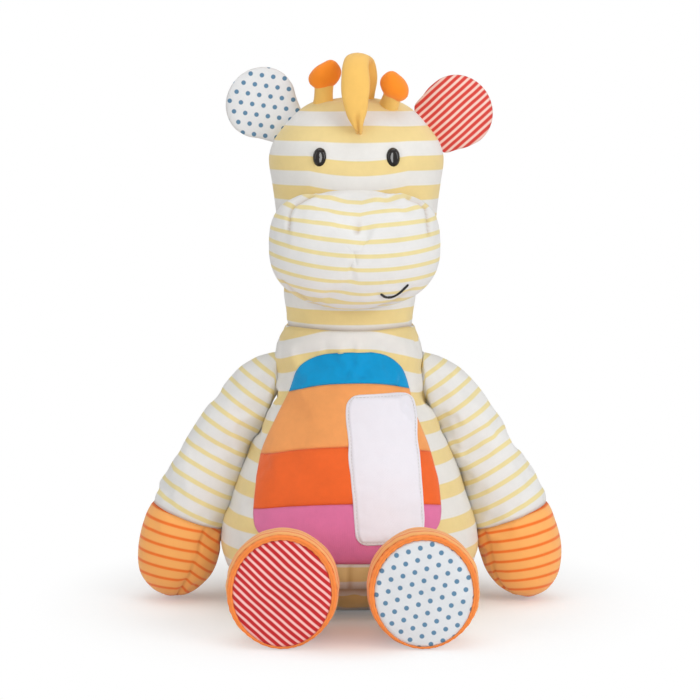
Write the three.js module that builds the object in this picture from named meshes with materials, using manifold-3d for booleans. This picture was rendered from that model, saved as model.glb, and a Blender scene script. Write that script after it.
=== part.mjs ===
// A seated plush giraffe in millimetres, +Z up, facing -Y, with its seat flat on z = 0 around the origin.
// Left is -X and right is +X, as seen by someone who looks at the toy's face.
// Each stuffed piece is a jersey cover, open along its seams, round its own filling.
import * as THREE from "three";
import { mergeVertices } from "three/addons/utils/BufferGeometryUtils.js";
import Module from "manifold-3d";

const wasm = await Module();
wasm.setup();

// Cloth and the gaps between pieces
const coverThickness = 1.6;
const seamGap = 0.3;
const fillingGap = 0.45;
const floorCut = 0.5;
const cutOverrun = 60;

// Numbers of sides round the forms, even so that a filling can take half as many
const bodySides = 24;
const limbSides = 16;
const smallSides = 12;
const tubeSides = 6;

// Torso: a pear that is widest low down, open at the top for the neck
const torsoHeight = 198;
const torsoHalfWidth = 92;
const torsoFrontDepth = 82;
const torsoBackDepth = 78;
const torsoSquareness = 2.15;
const torsoWidestShare = 0.23;
const baseSeamHeight = 22;
// Height, half width, front depth and back depth as shares of the torso's sizes
const torsoProfileShares = [
  [0.0, 0.62, 0.5, 0.56],
  [0.02, 0.72, 0.64, 0.68],
  [0.06, 0.85, 0.81, 0.84],
  [0.111, 0.935, 0.92, 0.935],
  [0.17, 0.985, 0.975, 0.985],
  [0.23, 1.0, 1.0, 1.0],
  [0.31, 0.965, 0.985, 0.99],
  [0.4, 0.885, 0.93, 0.94],
  [0.505, 0.79, 0.85, 0.87],
  [0.606, 0.69, 0.765, 0.79],
  [0.707, 0.61, 0.69, 0.72],
  [0.8, 0.575, 0.64, 0.67],
  [0.9, 0.555, 0.61, 0.635],
  [1.0, 0.53, 0.59, 0.62],
];
const baseRingShares = [0, 0.18, 0.5, 1];
const coverRingShares = [0.12, 0.25, 0.4, 0.55, 0.69, 0.81, 0.91, 1];

// Pouch of pellets that weights the seat
const pouchHalfWidth = 46;
const pouchHalfDepth = 34;
const pouchHeight = 24;
// Height and size of the pouch's rings as shares
const pouchShares = [
  [0, 0.9],
  [0.3, 1],
  [0.7, 0.95],
  [1, 0.6],
];

// Tummy: four bands of cloth in an arch, with a bare padded patch sewn over them
const bandThickness = 0.8;
const tummyFootHeight = 40;
const tummyTopClearance = 10;
const tummyHalfWidth = 67;
const bandCrownHeight = 6;
const borderSteps = 6;
const sideSteps = 4;
// Height and half width of the tummy's outline as shares, from its foot to its crown
const tummyOutlineShares = [
  [0.0, 0.3],
  [0.04, 0.55],
  [0.1, 0.76],
  [0.18, 0.92],
  [0.28, 1.0],
  [0.45, 0.98],
  [0.62, 0.86],
  [0.78, 0.7],
  [0.85, 0.63],
  [0.93, 0.5],
  [0.975, 0.33],
  [1.0, 0.08],
];
const bands = [
  { name: "tummy_band_pink", look: "pink", fromShare: 0, toShare: 0.285 },
  { name: "tummy_band_orange", look: "orange", fromShare: 0.285, toShare: 0.53 },
  { name: "tummy_band_peach", look: "peach", fromShare: 0.53, toShare: 0.835 },
  { name: "tummy_band_blue", look: "blue", fromShare: 0.835, toShare: 1 },
];
const patchWidth = 47;
const patchHeight = 102;
const patchThickness = 2;
const patchOffset = 24;
const patchRise = 67;
const patchCornerRadius = 9;
const patchCornerSteps = 3;
const patchTurn = THREE.MathUtils.degToRad(4.5);

// Neck: a tube of cloth whose filling ends below in a ball that rocks in the torso
const neckBallRadius = 45;
const neckRockClearance = 1.9;
const neckSideClearance = 0.5;
const neckHeight = 34;
const neckTopHalfWidth = 48.5;
const neckTopHalfDepth = 46;
const neckRingShares = [0, 0.3, 0.6, 1];

// Head: rounded box with a flat crown, set a little to the right of the neck
const headHeight = 135;
const headHalfWidth = 62;
const headFrontDepth = 54;
const headBackDepth = 54;
const headOffset = 4.5;
const headSquareness = 2.4;
const headFootShare = 0.22;
const headCrownShare = 0.54;
// Height, half width, front depth and back depth as shares of the head's sizes
const headProfileShares = [
  [0.0, 0.79, 0.855, 0.855],
  [0.1, 0.84, 0.905, 0.935],
  [0.22, 0.885, 0.95, 1.0],
  [0.37, 0.915, 0.97, 1.0],
  [0.54, 0.965, 0.955, 1.0],
  [0.667, 1.0, 0.92, 0.97],
  [0.75, 0.955, 0.86, 0.92],
  [0.8, 0.885, 0.8, 0.86],
  [0.85, 0.795, 0.73, 0.79],
  [0.9, 0.695, 0.63, 0.69],
  [0.945, 0.575, 0.52, 0.57],
  [0.975, 0.42, 0.38, 0.42],
  [0.995, 0.2, 0.18, 0.2],
];
const headRingShares = [0, 0.15, 0.32, 0.5, 0.65, 0.75, 0.83, 0.9, 0.955, 0.99];

// Muzzle: a rounded cup sewn on the lower face
const muzzleHalfWidth = 59;
const muzzleHalfDepth = 44;
const muzzleHalfHeight = 40.5;
const muzzleOffset = 3.3;
const muzzleForward = 62;
const muzzleRise = 29;
const muzzleSquareness = 2.25;
const muzzleRings = 12;
const chinClearance = 1.5;
const smileRadius = 0.9;
const smileSteps = 8;
// Places on the muzzle's front as shares of its half width and half height
const smileShares = [
  [0.31, -0.7],
  [0.36, -0.76],
  [0.42, -0.765],
  [0.5, -0.69],
  [0.56, -0.58],
  [0.61, -0.47],
];

// Eyes: glossy domes with a shank through the cover and a locking washer behind it
const eyeHalfWidth = 5;
const eyeHalfHeight = 6.9;
const eyeDomeDepth = 4.6;
const eyeSpacing = 51.2;
const eyeRise = 93;
const shankRadius = 2;
const shankLength = 12;
const washerRadius = 6.5;
const washerThickness = 1.5;
const washerDepth = 3.9;
// Size and depth of the dome's rings as shares of the eye's half sizes and of its dome
const eyeDomeShares = [
  [1, 0],
  [0.97, 0.3],
  [0.84, 0.62],
  [0.56, 0.87],
  [0.24, 0.98],
];

// Horns: a stuffed stalk with a fat tip sewn over its end
const stalkRadius = 6.8;
const stalkLength = 14;
const stalkSink = 9;
const tipRadius = 10.8;
const tipHalfHeight = 9.8;
const tipOverlap = 3;
const horns = {
  left: { acrossShare: -0.38, forwardShare: 0.22, lean: 2, tilt: 4 },
  right: { acrossShare: 0.37, forwardShare: 0.4, lean: 20, tilt: 36 },
};
const ballShares = [-0.93, -0.71, -0.38, 0, 0.38, 0.71, 0.93];

// Ears: a printed front and a plain back that meet at the edge, hinged where they are sewn to the head
const earLength = 47;
const earHalfWidth = 26.4;
const earHalfThickness = 4.2;
const earRootHalfThickness = 2.2;
const earRootGap = 0.45;
const ears = {
  left: { print: "dotted", riseShare: 0.845, lean: 48, rootShare: 0.63 },
  right: { print: "redStriped", riseShare: 0.825, lean: 57, rootShare: 0.8 },
};
// Length share, growth of the width from the root's to the full one, and growth of the thickness
const earProfileShares = [
  [0.0, 0.0, 0.0],
  [0.14, 0.35, 0.55],
  [0.3, 0.82, 0.95],
  [0.48, 1.0, 1.0],
];
const earTipRings = 5;
const earTipThicknessShare = 0.35;

// Mane: flattened jersey tubes sewn down as loops, the largest one over the forehead
const maneSteps = 12;
const forelockHalfWidth = 9.6;
const forelockHalfThickness = 4;
// Across, forward and up as shares of the head's half width, front depth and height, then the width
const forelockShares = [
  [0.025, 0.76, 0.79, 0.3],
  [0.015, 0.925, 0.822, 0.36],
  [0.0, 0.945, 0.9, 0.75],
  [-0.015, 0.89, 1.02, 1.0],
  [-0.01, 0.78, 1.13, 1.0],
  [0.02, 0.556, 1.197, 0.92],
  [0.08, 0.315, 1.18, 0.85],
  [0.135, 0.185, 1.1, 0.7],
  [0.13, 0.15, 1.01, 0.5],
  [0.115, 0.13, 0.93, 0.4],
];
const loopHalfWidth = 8;
const loopHalfThickness = 3.4;
const loopReach = 21;
const loopSpread = 8.5;
const loopSink = 6;
// Along the head and out from it, as shares of the loop's spread and of its way out
const loopShares = [
  [0.7, 0.0],
  [1.0, 0.4],
  [0.75, 0.85],
  [0.0, 1.0],
  [-0.75, 0.85],
  [-1.0, 0.4],
  [-0.7, 0.0],
];
const maneLoops = [
  { name: "mane_loop_top", riseShare: 0.965 },
  { name: "mane_loop_middle", riseShare: 0.81 },
  { name: "mane_loop_low", riseShare: 0.59 },
];

// Arms: hang from the shoulder seam, beside the torso
const shoulderHeight = 167;
const shoulderInset = 4;
const armDrop = 164.5;
const armHalfWidth = 29.6;
const armDepthShare = 0.93;
const armClearance = 0.6;
const wristRow = 6;
const shoulderRingShares = [0.07, 0.14, 0.25, 0.38, 0.52, 0.66, 1.05];
// Drop as a share of the arm's, lean from upright in degrees, and half width as a share
const armShares = [
  [0.006, 78, 0.56],
  [0.027, 62, 0.58],
  [0.079, 43, 0.6],
  [0.22, 30, 0.662],
  [0.377, 27, 0.723],
  [0.535, 23.5, 0.838],
  [0.663, 19.5, 0.953],
  [0.784, 12, 1.0],
  [0.888, 5, 0.878],
  [0.954, 1, 0.591],
  [0.985, 0, 0.304],
];

// Legs: lie forward from a pinched seam on the torso's front
const hipSpacing = 94.8;
const hipCentreX = 2;
const hipHeight = 27;
const hipRootRadius = 7;
const hipGap = 0.15;
const legHalfWidth = 23;
const legHalfHeight = 21.5;
const ankleForward = 118;
const ankleHeight = 27;
const hipRoundShares = [0.5, 0.87];
// Share of the way from hip to ankle, half width share and half height share
const legShares = [
  [0.0, 0.84, 0.326],
  [0.2, 0.92, 0.6],
  [0.45, 1.0, 0.9],
  [0.75, 1.0, 1.0],
  [1.0, 1.0, 1.0],
];

// Feet: a gusset closed in front by a sole, with a thick seam round the sole
const footHalfWidth = 37.6;
const footHalfHeight = 39.2;
const footLength = 39;
const footRiseShare = 0.35;
// Share of the foot's length, then half width and half height as shares
const footShares = [
  [0.1, 0.8, 0.745],
  [0.3, 0.955, 0.965],
  [0.6, 1.0, 1.0],
  [1.0, 0.96, 0.975],
];
const soleHalfWidth = 33.2;
const soleHalfHeight = 35.4;
const soleThickness = 2.4;
const soleDomeDepth = 2.4;
const soleSides = 24;
// Depth and size shares of the sole's crown
const soleCrownShares = [
  [0.45, 0.8],
  [0.85, 0.45],
];
const pipingHalfWidth = 1.9;
const pipingHalfDepth = 1.7;

// Tail: a narrow tube with a tuft, low on the torso's back
const tailHeight = 44;
const tailRadius = 4;
const tailReach = 24;
const tailDrop = 17;
const tailBendShare = 0.6;
const tailRootGap = 0.4;
const tailSteps = 5;
const tuftHalfWidth = 7.5;
const tuftHalfLength = 12.5;

const palette = {
  cover: { color: 0xefdc9a, roughness: 0.95 },
  sleeve: { color: 0xf1e7cf, roughness: 0.95 },
  filling: { color: 0xf7f7f4, roughness: 1 },
  pellets: { color: 0xcfc8ba, roughness: 0.9 },
  blue: { color: 0x0a93ce, roughness: 0.9 },
  peach: { color: 0xf5a462, roughness: 0.9 },
  orange: { color: 0xf26c30, roughness: 0.9 },
  pink: { color: 0xdf76a6, roughness: 0.9 },
  patch: { color: 0xf3eff4, roughness: 0.85 },
  hornTip: { color: 0xfa8a2b, roughness: 0.9 },
  golden: { color: 0xf4c566, roughness: 0.9 },
  hand: { color: 0xf99b55, roughness: 0.9 },
  foot: { color: 0xf99652, roughness: 0.9 },
  dotted: { color: 0xe4e8ec, roughness: 0.9 },
  redStriped: { color: 0xdf6a60, roughness: 0.9 },
  eye: { color: 0x120c0a, roughness: 0.12 },
  washer: { color: 0xd8d8d4, roughness: 0.5 },
  thread: { color: 0x15120f, roughness: 0.7 },
};

const axisX = new THREE.Vector3(1, 0, 0);
const axisY = new THREE.Vector3(0, 1, 0);
const axisZ = new THREE.Vector3(0, 0, 1);
const { lerp, smoothstep, degToRad, clamp } = THREE.MathUtils;
const turnOf = { left: -1, right: 1 };
const giraffe = new THREE.Group();

// Turns a closed geometry into a solid, with its faces pointing out.
function solidOf(geometry) {
  const bare = new THREE.BufferGeometry();
  bare.setAttribute("position", geometry.getAttribute("position").clone());
  if (geometry.index) bare.setIndex(geometry.index.clone());
  const merged = mergeVertices(bare);
  const vertProperties = new Float32Array(merged.attributes.position.array);
  const triVerts = new Uint32Array(merged.index.array);
  const solid = new wasm.Manifold(new wasm.Mesh({ numProp: 3, vertProperties, triVerts }));
  if (solid.volume() > 0) return solid;
  for (let i = 0; i < triVerts.length; i += 3) {
    [triVerts[i], triVerts[i + 1]] = [triVerts[i + 1], triVerts[i]];
  }
  return new wasm.Manifold(new wasm.Mesh({ numProp: 3, vertProperties, triVerts }));
}

// Adds a solid to the giraffe as a named mesh.
function addPiece(name, look, solid) {
  const { vertProperties, triVerts, numProp } = solid.getMesh();
  const geometry = new THREE.BufferGeometry();
  geometry.setAttribute("position", new THREE.BufferAttribute(new Float32Array(vertProperties), numProp));
  geometry.setIndex(new THREE.BufferAttribute(new Uint32Array(triVerts), 1));
  geometry.computeVertexNormals();
  const mesh = new THREE.Mesh(geometry, new THREE.MeshStandardMaterial({ metalness: 0, ...palette[look] }));
  mesh.name = name;
  giraffe.add(mesh);
}

// Value in a column of a table at a place in its first column, on smooth cubic stretches between the rows.
function smoothAt(table, column, place) {
  const last = table.length - 1;
  const at = clamp(place, table[0][0], table[last][0]);
  let row = 0;
  while (row < last - 1 && table[row + 1][0] < at) row += 1;
  const slope = (i) => {
    const [low, high] = [table[Math.max(i - 1, 0)], table[Math.min(i + 1, last)]];
    return (high[column] - low[column]) / (high[0] - low[0]);
  };
  const width = table[row + 1][0] - table[row][0];
  const t = (at - table[row][0]) / width;
  const [p, q] = [table[row][column], table[row + 1][column]];
  const [m, n] = [slope(row) * width, slope(row + 1) * width];
  return p + m * t + (3 * (q - p) - 2 * m - n) * t * t + (2 * (p - q) + m + n) * t * t * t;
}

// Share of an oval's depth that is left at a share of its width.
const ovalDepthShare = (widthShare, squareness) =>
  Math.max(1 - Math.abs(widthShare) ** squareness, 0) ** (1 / squareness);

// One ring of points: an oval with its own reach before and behind its centre.
function ovalRing(oval, sides) {
  const { centre, across = axisX, deep = axisY, halfAcross, front, back = front, squareness = 2 } = oval;
  const reachOf = (value) => Math.sign(value) * Math.abs(value) ** (2 / squareness);
  return Array.from({ length: sides }, (_, i) => {
    const angle = (i / sides) * Math.PI * 2;
    const x = halfAcross * reachOf(Math.cos(angle));
    const y = (Math.sin(angle) < 0 ? front : back) * reachOf(Math.sin(angle));
    return centre.clone().addScaledVector(across, x).addScaledVector(deep, y);
  });
}

// A closed solid through a row of rings, with a fan of faces to a pole at each end.
function solidThrough(rings, firstPole, lastPole) {
  const sides = rings[0].length;
  const middle = (ring) => ring.reduce((sum, p) => sum.add(p), new THREE.Vector3()).divideScalar(sides);
  const points = [...rings.flat(), firstPole ?? middle(rings[0]), lastPole ?? middle(rings.at(-1))];
  const [first, last] = [points.length - 2, points.length - 1];
  const top = (rings.length - 1) * sides;
  const faces = [];
  for (let side = 0; side < sides; side += 1) {
    const next = (side + 1) % sides;
    for (let row = 0; row < rings.length - 1; row += 1) {
      const [a, b] = [row * sides + side, row * sides + next];
      faces.push(a, b, b + sides, a, b + sides, a + sides);
    }
    faces.push(first, next, side, last, top + side, top + next);
  }
  const geometry = new THREE.BufferGeometry().setFromPoints(points);
  geometry.setIndex(faces);
  return solidOf(geometry);
}

// A closed ring of cloth: the same oval section carried round an upright oval.
function ovalHoop(centre, halfAcross, halfUp, sectionHalfWidth, sectionHalfDepth) {
  const turnAt = (i, count) => (i / count) * Math.PI * 2;
  const points = [];
  for (let i = 0; i < soleSides; i += 1) {
    for (let j = 0; j < tubeSides; j += 1) {
      const [around, about] = [turnAt(i, soleSides), turnAt(j, tubeSides)];
      const out = sectionHalfWidth * Math.cos(about);
      points.push(
        centre
          .clone()
          .addScaledVector(axisX, (halfAcross + out) * Math.cos(around))
          .addScaledVector(axisZ, (halfUp + out) * Math.sin(around))
          .addScaledVector(axisY, sectionHalfDepth * Math.sin(about)),
      );
    }
  }
  const faces = [];
  for (let i = 0; i < soleSides; i += 1) {
    for (let j = 0; j < tubeSides; j += 1) {
      const [here, there] = [i * tubeSides, ((i + 1) % soleSides) * tubeSides];
      const next = (j + 1) % tubeSides;
      faces.push(here + j, there + j, there + next, here + j, there + next, here + next);
    }
  }
  const geometry = new THREE.BufferGeometry().setFromPoints(points);
  geometry.setIndex(faces);
  return solidOf(geometry);
}

// A flattened tube along a curve, with sizes that follow the share of its length.
function flatTube(curve, steps, halfWidthAt, halfThicknessAt, widthAxis = axisX, firstPole = undefined) {
  const rings = Array.from({ length: steps + 1 }, (_, i) => {
    const share = i / steps;
    const along = curve.getTangentAt(share);
    const across = widthAxis.clone().addScaledVector(along, -widthAxis.dot(along)).normalize();
    const deep = along.clone().cross(across);
    const centre = curve.getPointAt(share);
    const reaches = { halfAcross: halfWidthAt(share), front: halfThicknessAt(share) };
    return ovalRing({ centre, across, deep, ...reaches }, tubeSides);
  });
  return solidThrough(rings, firstPole);
}

// A cylinder along a direction, from a reach behind a place to a reach ahead of it.
function rodAlong(place, direction, radius, reachAhead, reachBehind, sides = smallSides) {
  const guide = Math.abs(direction.z) < 0.9 ? axisZ : axisX;
  const across = guide.clone().addScaledVector(direction, -guide.dot(direction)).normalize();
  const deep = direction.clone().cross(across);
  const rings = [-reachBehind, reachAhead].map((reach) => {
    const centre = place.clone().addScaledVector(direction, reach);
    return ovalRing({ centre, across, deep, halfAcross: radius, front: radius }, sides);
  });
  return solidThrough(rings);
}

// A ball drawn out along a direction.
function ballAt(centre, along, halfLength, radius, sides) {
  const guide = Math.abs(along.x) < 0.9 ? axisX : axisY;
  const across = guide.clone().addScaledVector(along, -guide.dot(along)).normalize();
  const deep = along.clone().cross(across);
  const rings = ballShares.map((share) => {
    const reach = radius * Math.sqrt(1 - share * share);
    const middle = centre.clone().addScaledVector(along, halfLength * share);
    return ovalRing({ centre: middle, across, deep, halfAcross: reach, front: reach }, sides);
  });
  const [low, high] = [-1, 1].map((end) => centre.clone().addScaledVector(along, end * halfLength));
  return solidThrough(rings, low, high);
}

const at = (x, y, z) => new THREE.Vector3(x, y, z);
const far = torsoHeight + neckHeight + headHeight + cutOverrun;
function boxBetween(low, high) {
  const size = high.clone().sub(low);
  const middle = low.clone().add(high).multiplyScalar(0.5);
  return solidOf(new THREE.BoxGeometry(size.x, size.y, size.z).translate(middle.x, middle.y, middle.z));
}
const below = (z) => boxBetween(at(-far, -far, -far), at(far, far, z));
const above = (z) => boxBetween(at(-far, -far, z), at(far, far, far));
const ahead = (y) => boxBetween(at(-far, -far, -far), at(far, y, far));
const behind = (y) => boxBetween(at(-far, y, -far), at(far, far, far));

const fillingInset = coverThickness + fillingGap;
const neckBase = at(0, 0, torsoHeight);
const socketRadius = neckBallRadius + neckRockClearance;

// Torso ring sizes at a height. Near the top the oval turns into the mouth that the neck rocks in.
function torsoSizeAt(height) {
  const share = height / torsoHeight;
  const mouth = smoothstep(share, torsoProfileShares.at(-3)[0], 1);
  const mouthSides = [neckBallRadius + neckSideClearance, socketRadius, socketRadius];
  const [halfWidth, front, back] = [torsoHalfWidth, torsoFrontDepth, torsoBackDepth].map((size, i) =>
    lerp(size * smoothAt(torsoProfileShares, i + 1, share), mouthSides[i] + coverThickness, mouth),
  );
  return { halfWidth, front, back };
}

function torsoRing(height, inset, level, sides) {
  const { halfWidth, front, back } = torsoSizeAt(height);
  const reaches = { halfAcross: halfWidth - inset, front: front - inset, back: back - inset };
  return ovalRing({ centre: at(0, 0, level), ...reaches, squareness: torsoSquareness }, sides);
}

const torsoHeights = [
  ...baseRingShares.map((share) => share * baseSeamHeight),
  ...coverRingShares.map((share) => lerp(baseSeamHeight, torsoHeight, share)),
];

// The torso drawn in by an inset all over, with its floor lifted alike, and carried on above if it overruns.
function torsoSolid(inset, sides = bodySides, overrun = 0) {
  const liftAt = (height) => inset * (1 - smoothstep(height, 0, baseSeamHeight));
  const rings = torsoHeights.map((height) => torsoRing(height, inset, height + liftAt(height), sides));
  if (overrun > 0) rings.push(torsoRing(torsoHeight, inset, torsoHeight + overrun, sides));
  return solidThrough(rings);
}

// The pouch on the base panel's floor, or the room for it when it is grown and carried on downwards.
function pouchSolid(grown, overrun) {
  const foot = coverThickness + seamGap;
  const rings = pouchShares.map(([up, size], row) => {
    const level = row === 0 ? foot - overrun : foot + up * pouchHeight + grown;
    const reaches = { halfAcross: pouchHalfWidth * size + grown, front: pouchHalfDepth * size + grown };
    return ovalRing({ centre: at(0, 0, level), ...reaches }, smallSides);
  });
  return solidThrough(rings);
}

function makeTorso() {
  const skin = torsoSolid(0).subtract(torsoSolid(coverThickness, bodySides, cutOverrun));
  addPiece("torso_cover", "cover", skin.subtract(below(baseSeamHeight + seamGap / 2)));
  addPiece("base_panel", "cover", skin.subtract(above(baseSeamHeight - seamGap / 2)));
  addPiece("pellet_pouch", "pellets", pouchSolid(0, 0));
  // The socket's flats, not its corners, clear the neck's ball.
  const cornerRadius = socketRadius / Math.cos((Math.PI * 2) / bodySides);
  const socket = ballAt(neckBase, axisZ, cornerRadius, cornerRadius, bodySides / 2);
  const filling = torsoSolid(fillingInset, bodySides / 2).subtract(socket);
  addPiece("torso_filling", "filling", filling.subtract(pouchSolid(fillingGap, cutOverrun)));
}

// A layer of cloth over the torso's front, between two heights above its cover.
const torsoLayer = (from, to) => torsoSolid(-to).subtract(torsoSolid(-from)).subtract(behind(0));

// An outline in X and Z, carried forward past the torso's front.
function prismThrough(points) {
  const shape = new THREE.Shape(points.map(([x, z]) => new THREE.Vector2(x, z)));
  const geometry = new THREE.ExtrudeGeometry(shape, { depth: far, bevelEnabled: false, steps: 1 });
  return solidOf(geometry.rotateX(Math.PI / 2));
}

const tummyHalfWidthAt = (share) => tummyHalfWidth * smoothAt(tummyOutlineShares, 1, share);
const tummyHeightAt = (share) => lerp(tummyFootHeight, torsoHeight - tummyTopClearance, share);

// A border between two bands, which rises in the middle, and more so the higher it is.
function tummyBorder(share, lift) {
  const half = tummyHalfWidthAt(share);
  return Array.from({ length: borderSteps + 1 }, (_, i) => {
    const x = lerp(-half, half, i / borderSteps);
    return [x, tummyHeightAt(share) + bandCrownHeight * share * (1 - (x / half) ** 2) + lift];
  });
}

function makeTummy() {
  const layer = torsoLayer(seamGap, seamGap + bandThickness);
  for (const { name, look, fromShare, toShare } of bands) {
    const sideOf = (turn) =>
      Array.from({ length: sideSteps - 1 }, (_, i) => {
        const share = lerp(fromShare, toShare, (i + 1) / sideSteps);
        return [turn * tummyHalfWidthAt(share), tummyHeightAt(share)];
      });
    const outline = [
      ...tummyBorder(fromShare, seamGap / 2),
      ...sideOf(1),
      ...tummyBorder(toShare, -seamGap / 2).toReversed(),
      ...sideOf(-1).toReversed(),
    ];
    addPiece(name, look, layer.intersect(prismThrough(outline)));
  }
}

// The patch's outline: a rectangle with round corners, turned about its centre.
function patchOutline() {
  const points = [];
  for (let quarter = 0; quarter < 4; quarter += 1) {
    const [turnX, turnZ] = [quarter === 0 || quarter === 3 ? 1 : -1, quarter < 2 ? 1 : -1];
    for (let step = 0; step <= patchCornerSteps; step += 1) {
      const angle = ((quarter + step / patchCornerSteps) * Math.PI) / 2;
      const x = turnX * (patchWidth / 2 - patchCornerRadius) + patchCornerRadius * Math.cos(angle);
      const z = turnZ * (patchHeight / 2 - patchCornerRadius) + patchCornerRadius * Math.sin(angle);
      const place = new THREE.Vector2(x, z).rotateAround(new THREE.Vector2(), patchTurn);
      points.push([patchOffset + place.x, tummyFootHeight + patchRise + place.y]);
    }
  }
  return points;
}

function makePatch() {
  const foot = seamGap + bandThickness + seamGap;
  const layer = torsoLayer(foot, foot + patchThickness);
  addPiece("chest_patch", "patch", layer.intersect(prismThrough(patchOutline())));
}

// Neck ring sizes at a share of its height. It stays as narrow as its ball for as far as it can dip.
function neckRing(share, inset, rise, sides) {
  const grown = smoothstep(share, neckRingShares[1], 1);
  const halfAcross = lerp(neckBallRadius, neckTopHalfWidth, grown) - inset;
  const front = lerp(neckBallRadius, neckTopHalfDepth, grown) - inset;
  return ovalRing({ centre: neckBase.clone().addScaledVector(axisZ, rise), halfAcross, front }, sides);
}

function neckTube(inset, sides, overrun = 0) {
  const rings = neckRingShares.map((share) => neckRing(share, inset, share * neckHeight, sides));
  if (overrun > 0) {
    rings.unshift(neckRing(0, inset, -overrun, sides));
    rings.push(neckRing(1, inset, neckHeight + overrun, sides));
  }
  return solidThrough(rings);
}

function makeNeck() {
  const sides = bodySides / 2;
  const room = neckTube(coverThickness, sides, cutOverrun);
  addPiece("neck_cover", "cover", neckTube(0, bodySides).subtract(room));
  const ballRings = ballShares.filter((share) => share < 0).map((share) => {
    const reach = neckBallRadius * Math.sqrt(1 - share * share);
    const centre = neckBase.clone().addScaledVector(axisZ, neckBallRadius * share);
    return ovalRing({ centre, halfAcross: reach, front: reach }, sides);
  });
  const shoulderRings = [0, fillingInset].map((inset) => neckRing(0, inset, -seamGap, sides));
  const coreRings = neckRingShares.map((share) => neckRing(share, fillingInset, share * neckHeight, sides));
  const foot = neckBase.clone().addScaledVector(axisZ, -neckBallRadius);
  addPiece("neck_filling", "filling", solidThrough([...ballRings, ...shoulderRings, ...coreRings], foot));
}

// Head ring sizes and its sideways place, which both start from the neck's top.
const headFoot = torsoHeight + neckHeight + seamGap;
function headSizeAt(share) {
  const free = smoothstep(share, 0, headFootShare);
  const sizeOf = (size, column, neckSize) =>
    lerp(neckSize, size * smoothAt(headProfileShares, column, share), free);
  return {
    centreX: headOffset * free,
    halfWidth: sizeOf(headHalfWidth, 1, neckTopHalfWidth),
    front: sizeOf(headFrontDepth, 2, neckTopHalfDepth),
    back: sizeOf(headBackDepth, 3, neckTopHalfDepth),
  };
}

function headRing(share, inset, level, sides) {
  const { centreX, halfWidth, front, back } = headSizeAt(share);
  const reaches = { halfAcross: halfWidth - inset, front: front - inset, back: back - inset };
  return ovalRing({ centre: at(centreX, 0, level), ...reaches, squareness: headSquareness }, sides);
}

// The head drawn in by an inset all over, and carried on below its foot if it overruns.
function headSolid(inset, sides = bodySides, overrun = 0) {
  const levelAt = (share) => headFoot + share * headHeight - inset * smoothstep(share, headCrownShare, 1);
  const rings = headRingShares.map((share) => headRing(share, inset, levelAt(share), sides));
  if (overrun > 0) rings.unshift(headRing(0, inset, headFoot - overrun, sides));
  return solidThrough(rings, undefined, at(headOffset, 0, headFoot + headHeight - inset));
}

// Place on the front of the head at a distance across and above its foot.
function faceAt(x, rise) {
  const { centreX, halfWidth, front } = headSizeAt(rise / headHeight);
  return at(x, -front * ovalDepthShare((x - centreX) / halfWidth, headSquareness), headFoot + rise);
}

// Place on the crown straight above a spot across and behind the head's middle.
function crownAt(x, y) {
  let [low, high] = [headCrownShare, 1];
  for (let pass = 0; pass < 24; pass += 1) {
    const share = (low + high) / 2;
    const { centreX, halfWidth, front, back } = headSizeAt(share);
    const [across, deep] = [(x - centreX) / halfWidth, y / (y < 0 ? front : back)];
    const inside = Math.abs(across) ** headSquareness + Math.abs(deep) ** headSquareness < 1;
    if (inside) low = share;
    else high = share;
  }
  return at(x, y, headFoot + low * headHeight);
}

// Where an eye sits on the face, and which way it looks.
function eyeFrame(turn) {
  const x = headOffset + (turn * eyeSpacing) / 2;
  const place = faceAt(x, eyeRise);
  const across = faceAt(x + eyeHalfWidth, eyeRise).sub(place);
  const up = faceAt(x, eyeRise + eyeHalfHeight).sub(place);
  return { place, out: across.cross(up).normalize() };
}

function eyeSolid(seat, out) {
  const across = axisZ.clone().cross(out).normalize();
  const up = out.clone().cross(across);
  const rings = eyeDomeShares.map(([size, depth]) => {
    const centre = seat.clone().addScaledVector(out, eyeDomeDepth * depth);
    const reaches = { halfAcross: eyeHalfWidth * size, front: eyeHalfHeight * size };
    return ovalRing({ centre, across, deep: up, ...reaches }, smallSides);
  });
  const dome = solidThrough(rings, seat, seat.clone().addScaledVector(out, eyeDomeDepth));
  return dome.add(rodAlong(seat, out, shankRadius, eyeDomeDepth / 2, shankLength, tubeSides));
}

function makeHead() {
  let cover = headSolid(0).subtract(headSolid(coverThickness, bodySides, cutOverrun));
  let filling = headSolid(fillingInset, bodySides / 2);
  for (const [side, turn] of Object.entries(turnOf)) {
    const { place, out } = eyeFrame(turn);
    const seat = place.clone().addScaledVector(out, seamGap);
    addPiece(`eye_${side}`, "eye", eyeSolid(seat, out));
    const hole = rodAlong(seat, out, shankRadius + seamGap, eyeDomeDepth, shankLength + seamGap);
    const washerSeat = seat.clone().addScaledVector(out, -washerDepth);
    const washer = rodAlong(washerSeat, out, washerRadius, 0, washerThickness);
    addPiece(`eye_washer_${side}`, "washer", washer.subtract(hole));
    const roomBehind = washerThickness + fillingGap;
    const room = rodAlong(washerSeat, out, washerRadius + fillingGap, cutOverrun, roomBehind);
    cover = cover.subtract(hole);
    filling = filling.subtract(hole).subtract(room);
  }
  addPiece("head_cover", "cover", cover);
  addPiece("head_filling", "filling", filling);
}

const muzzleCentre = at(muzzleOffset, -muzzleForward, headFoot + muzzleRise);

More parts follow.
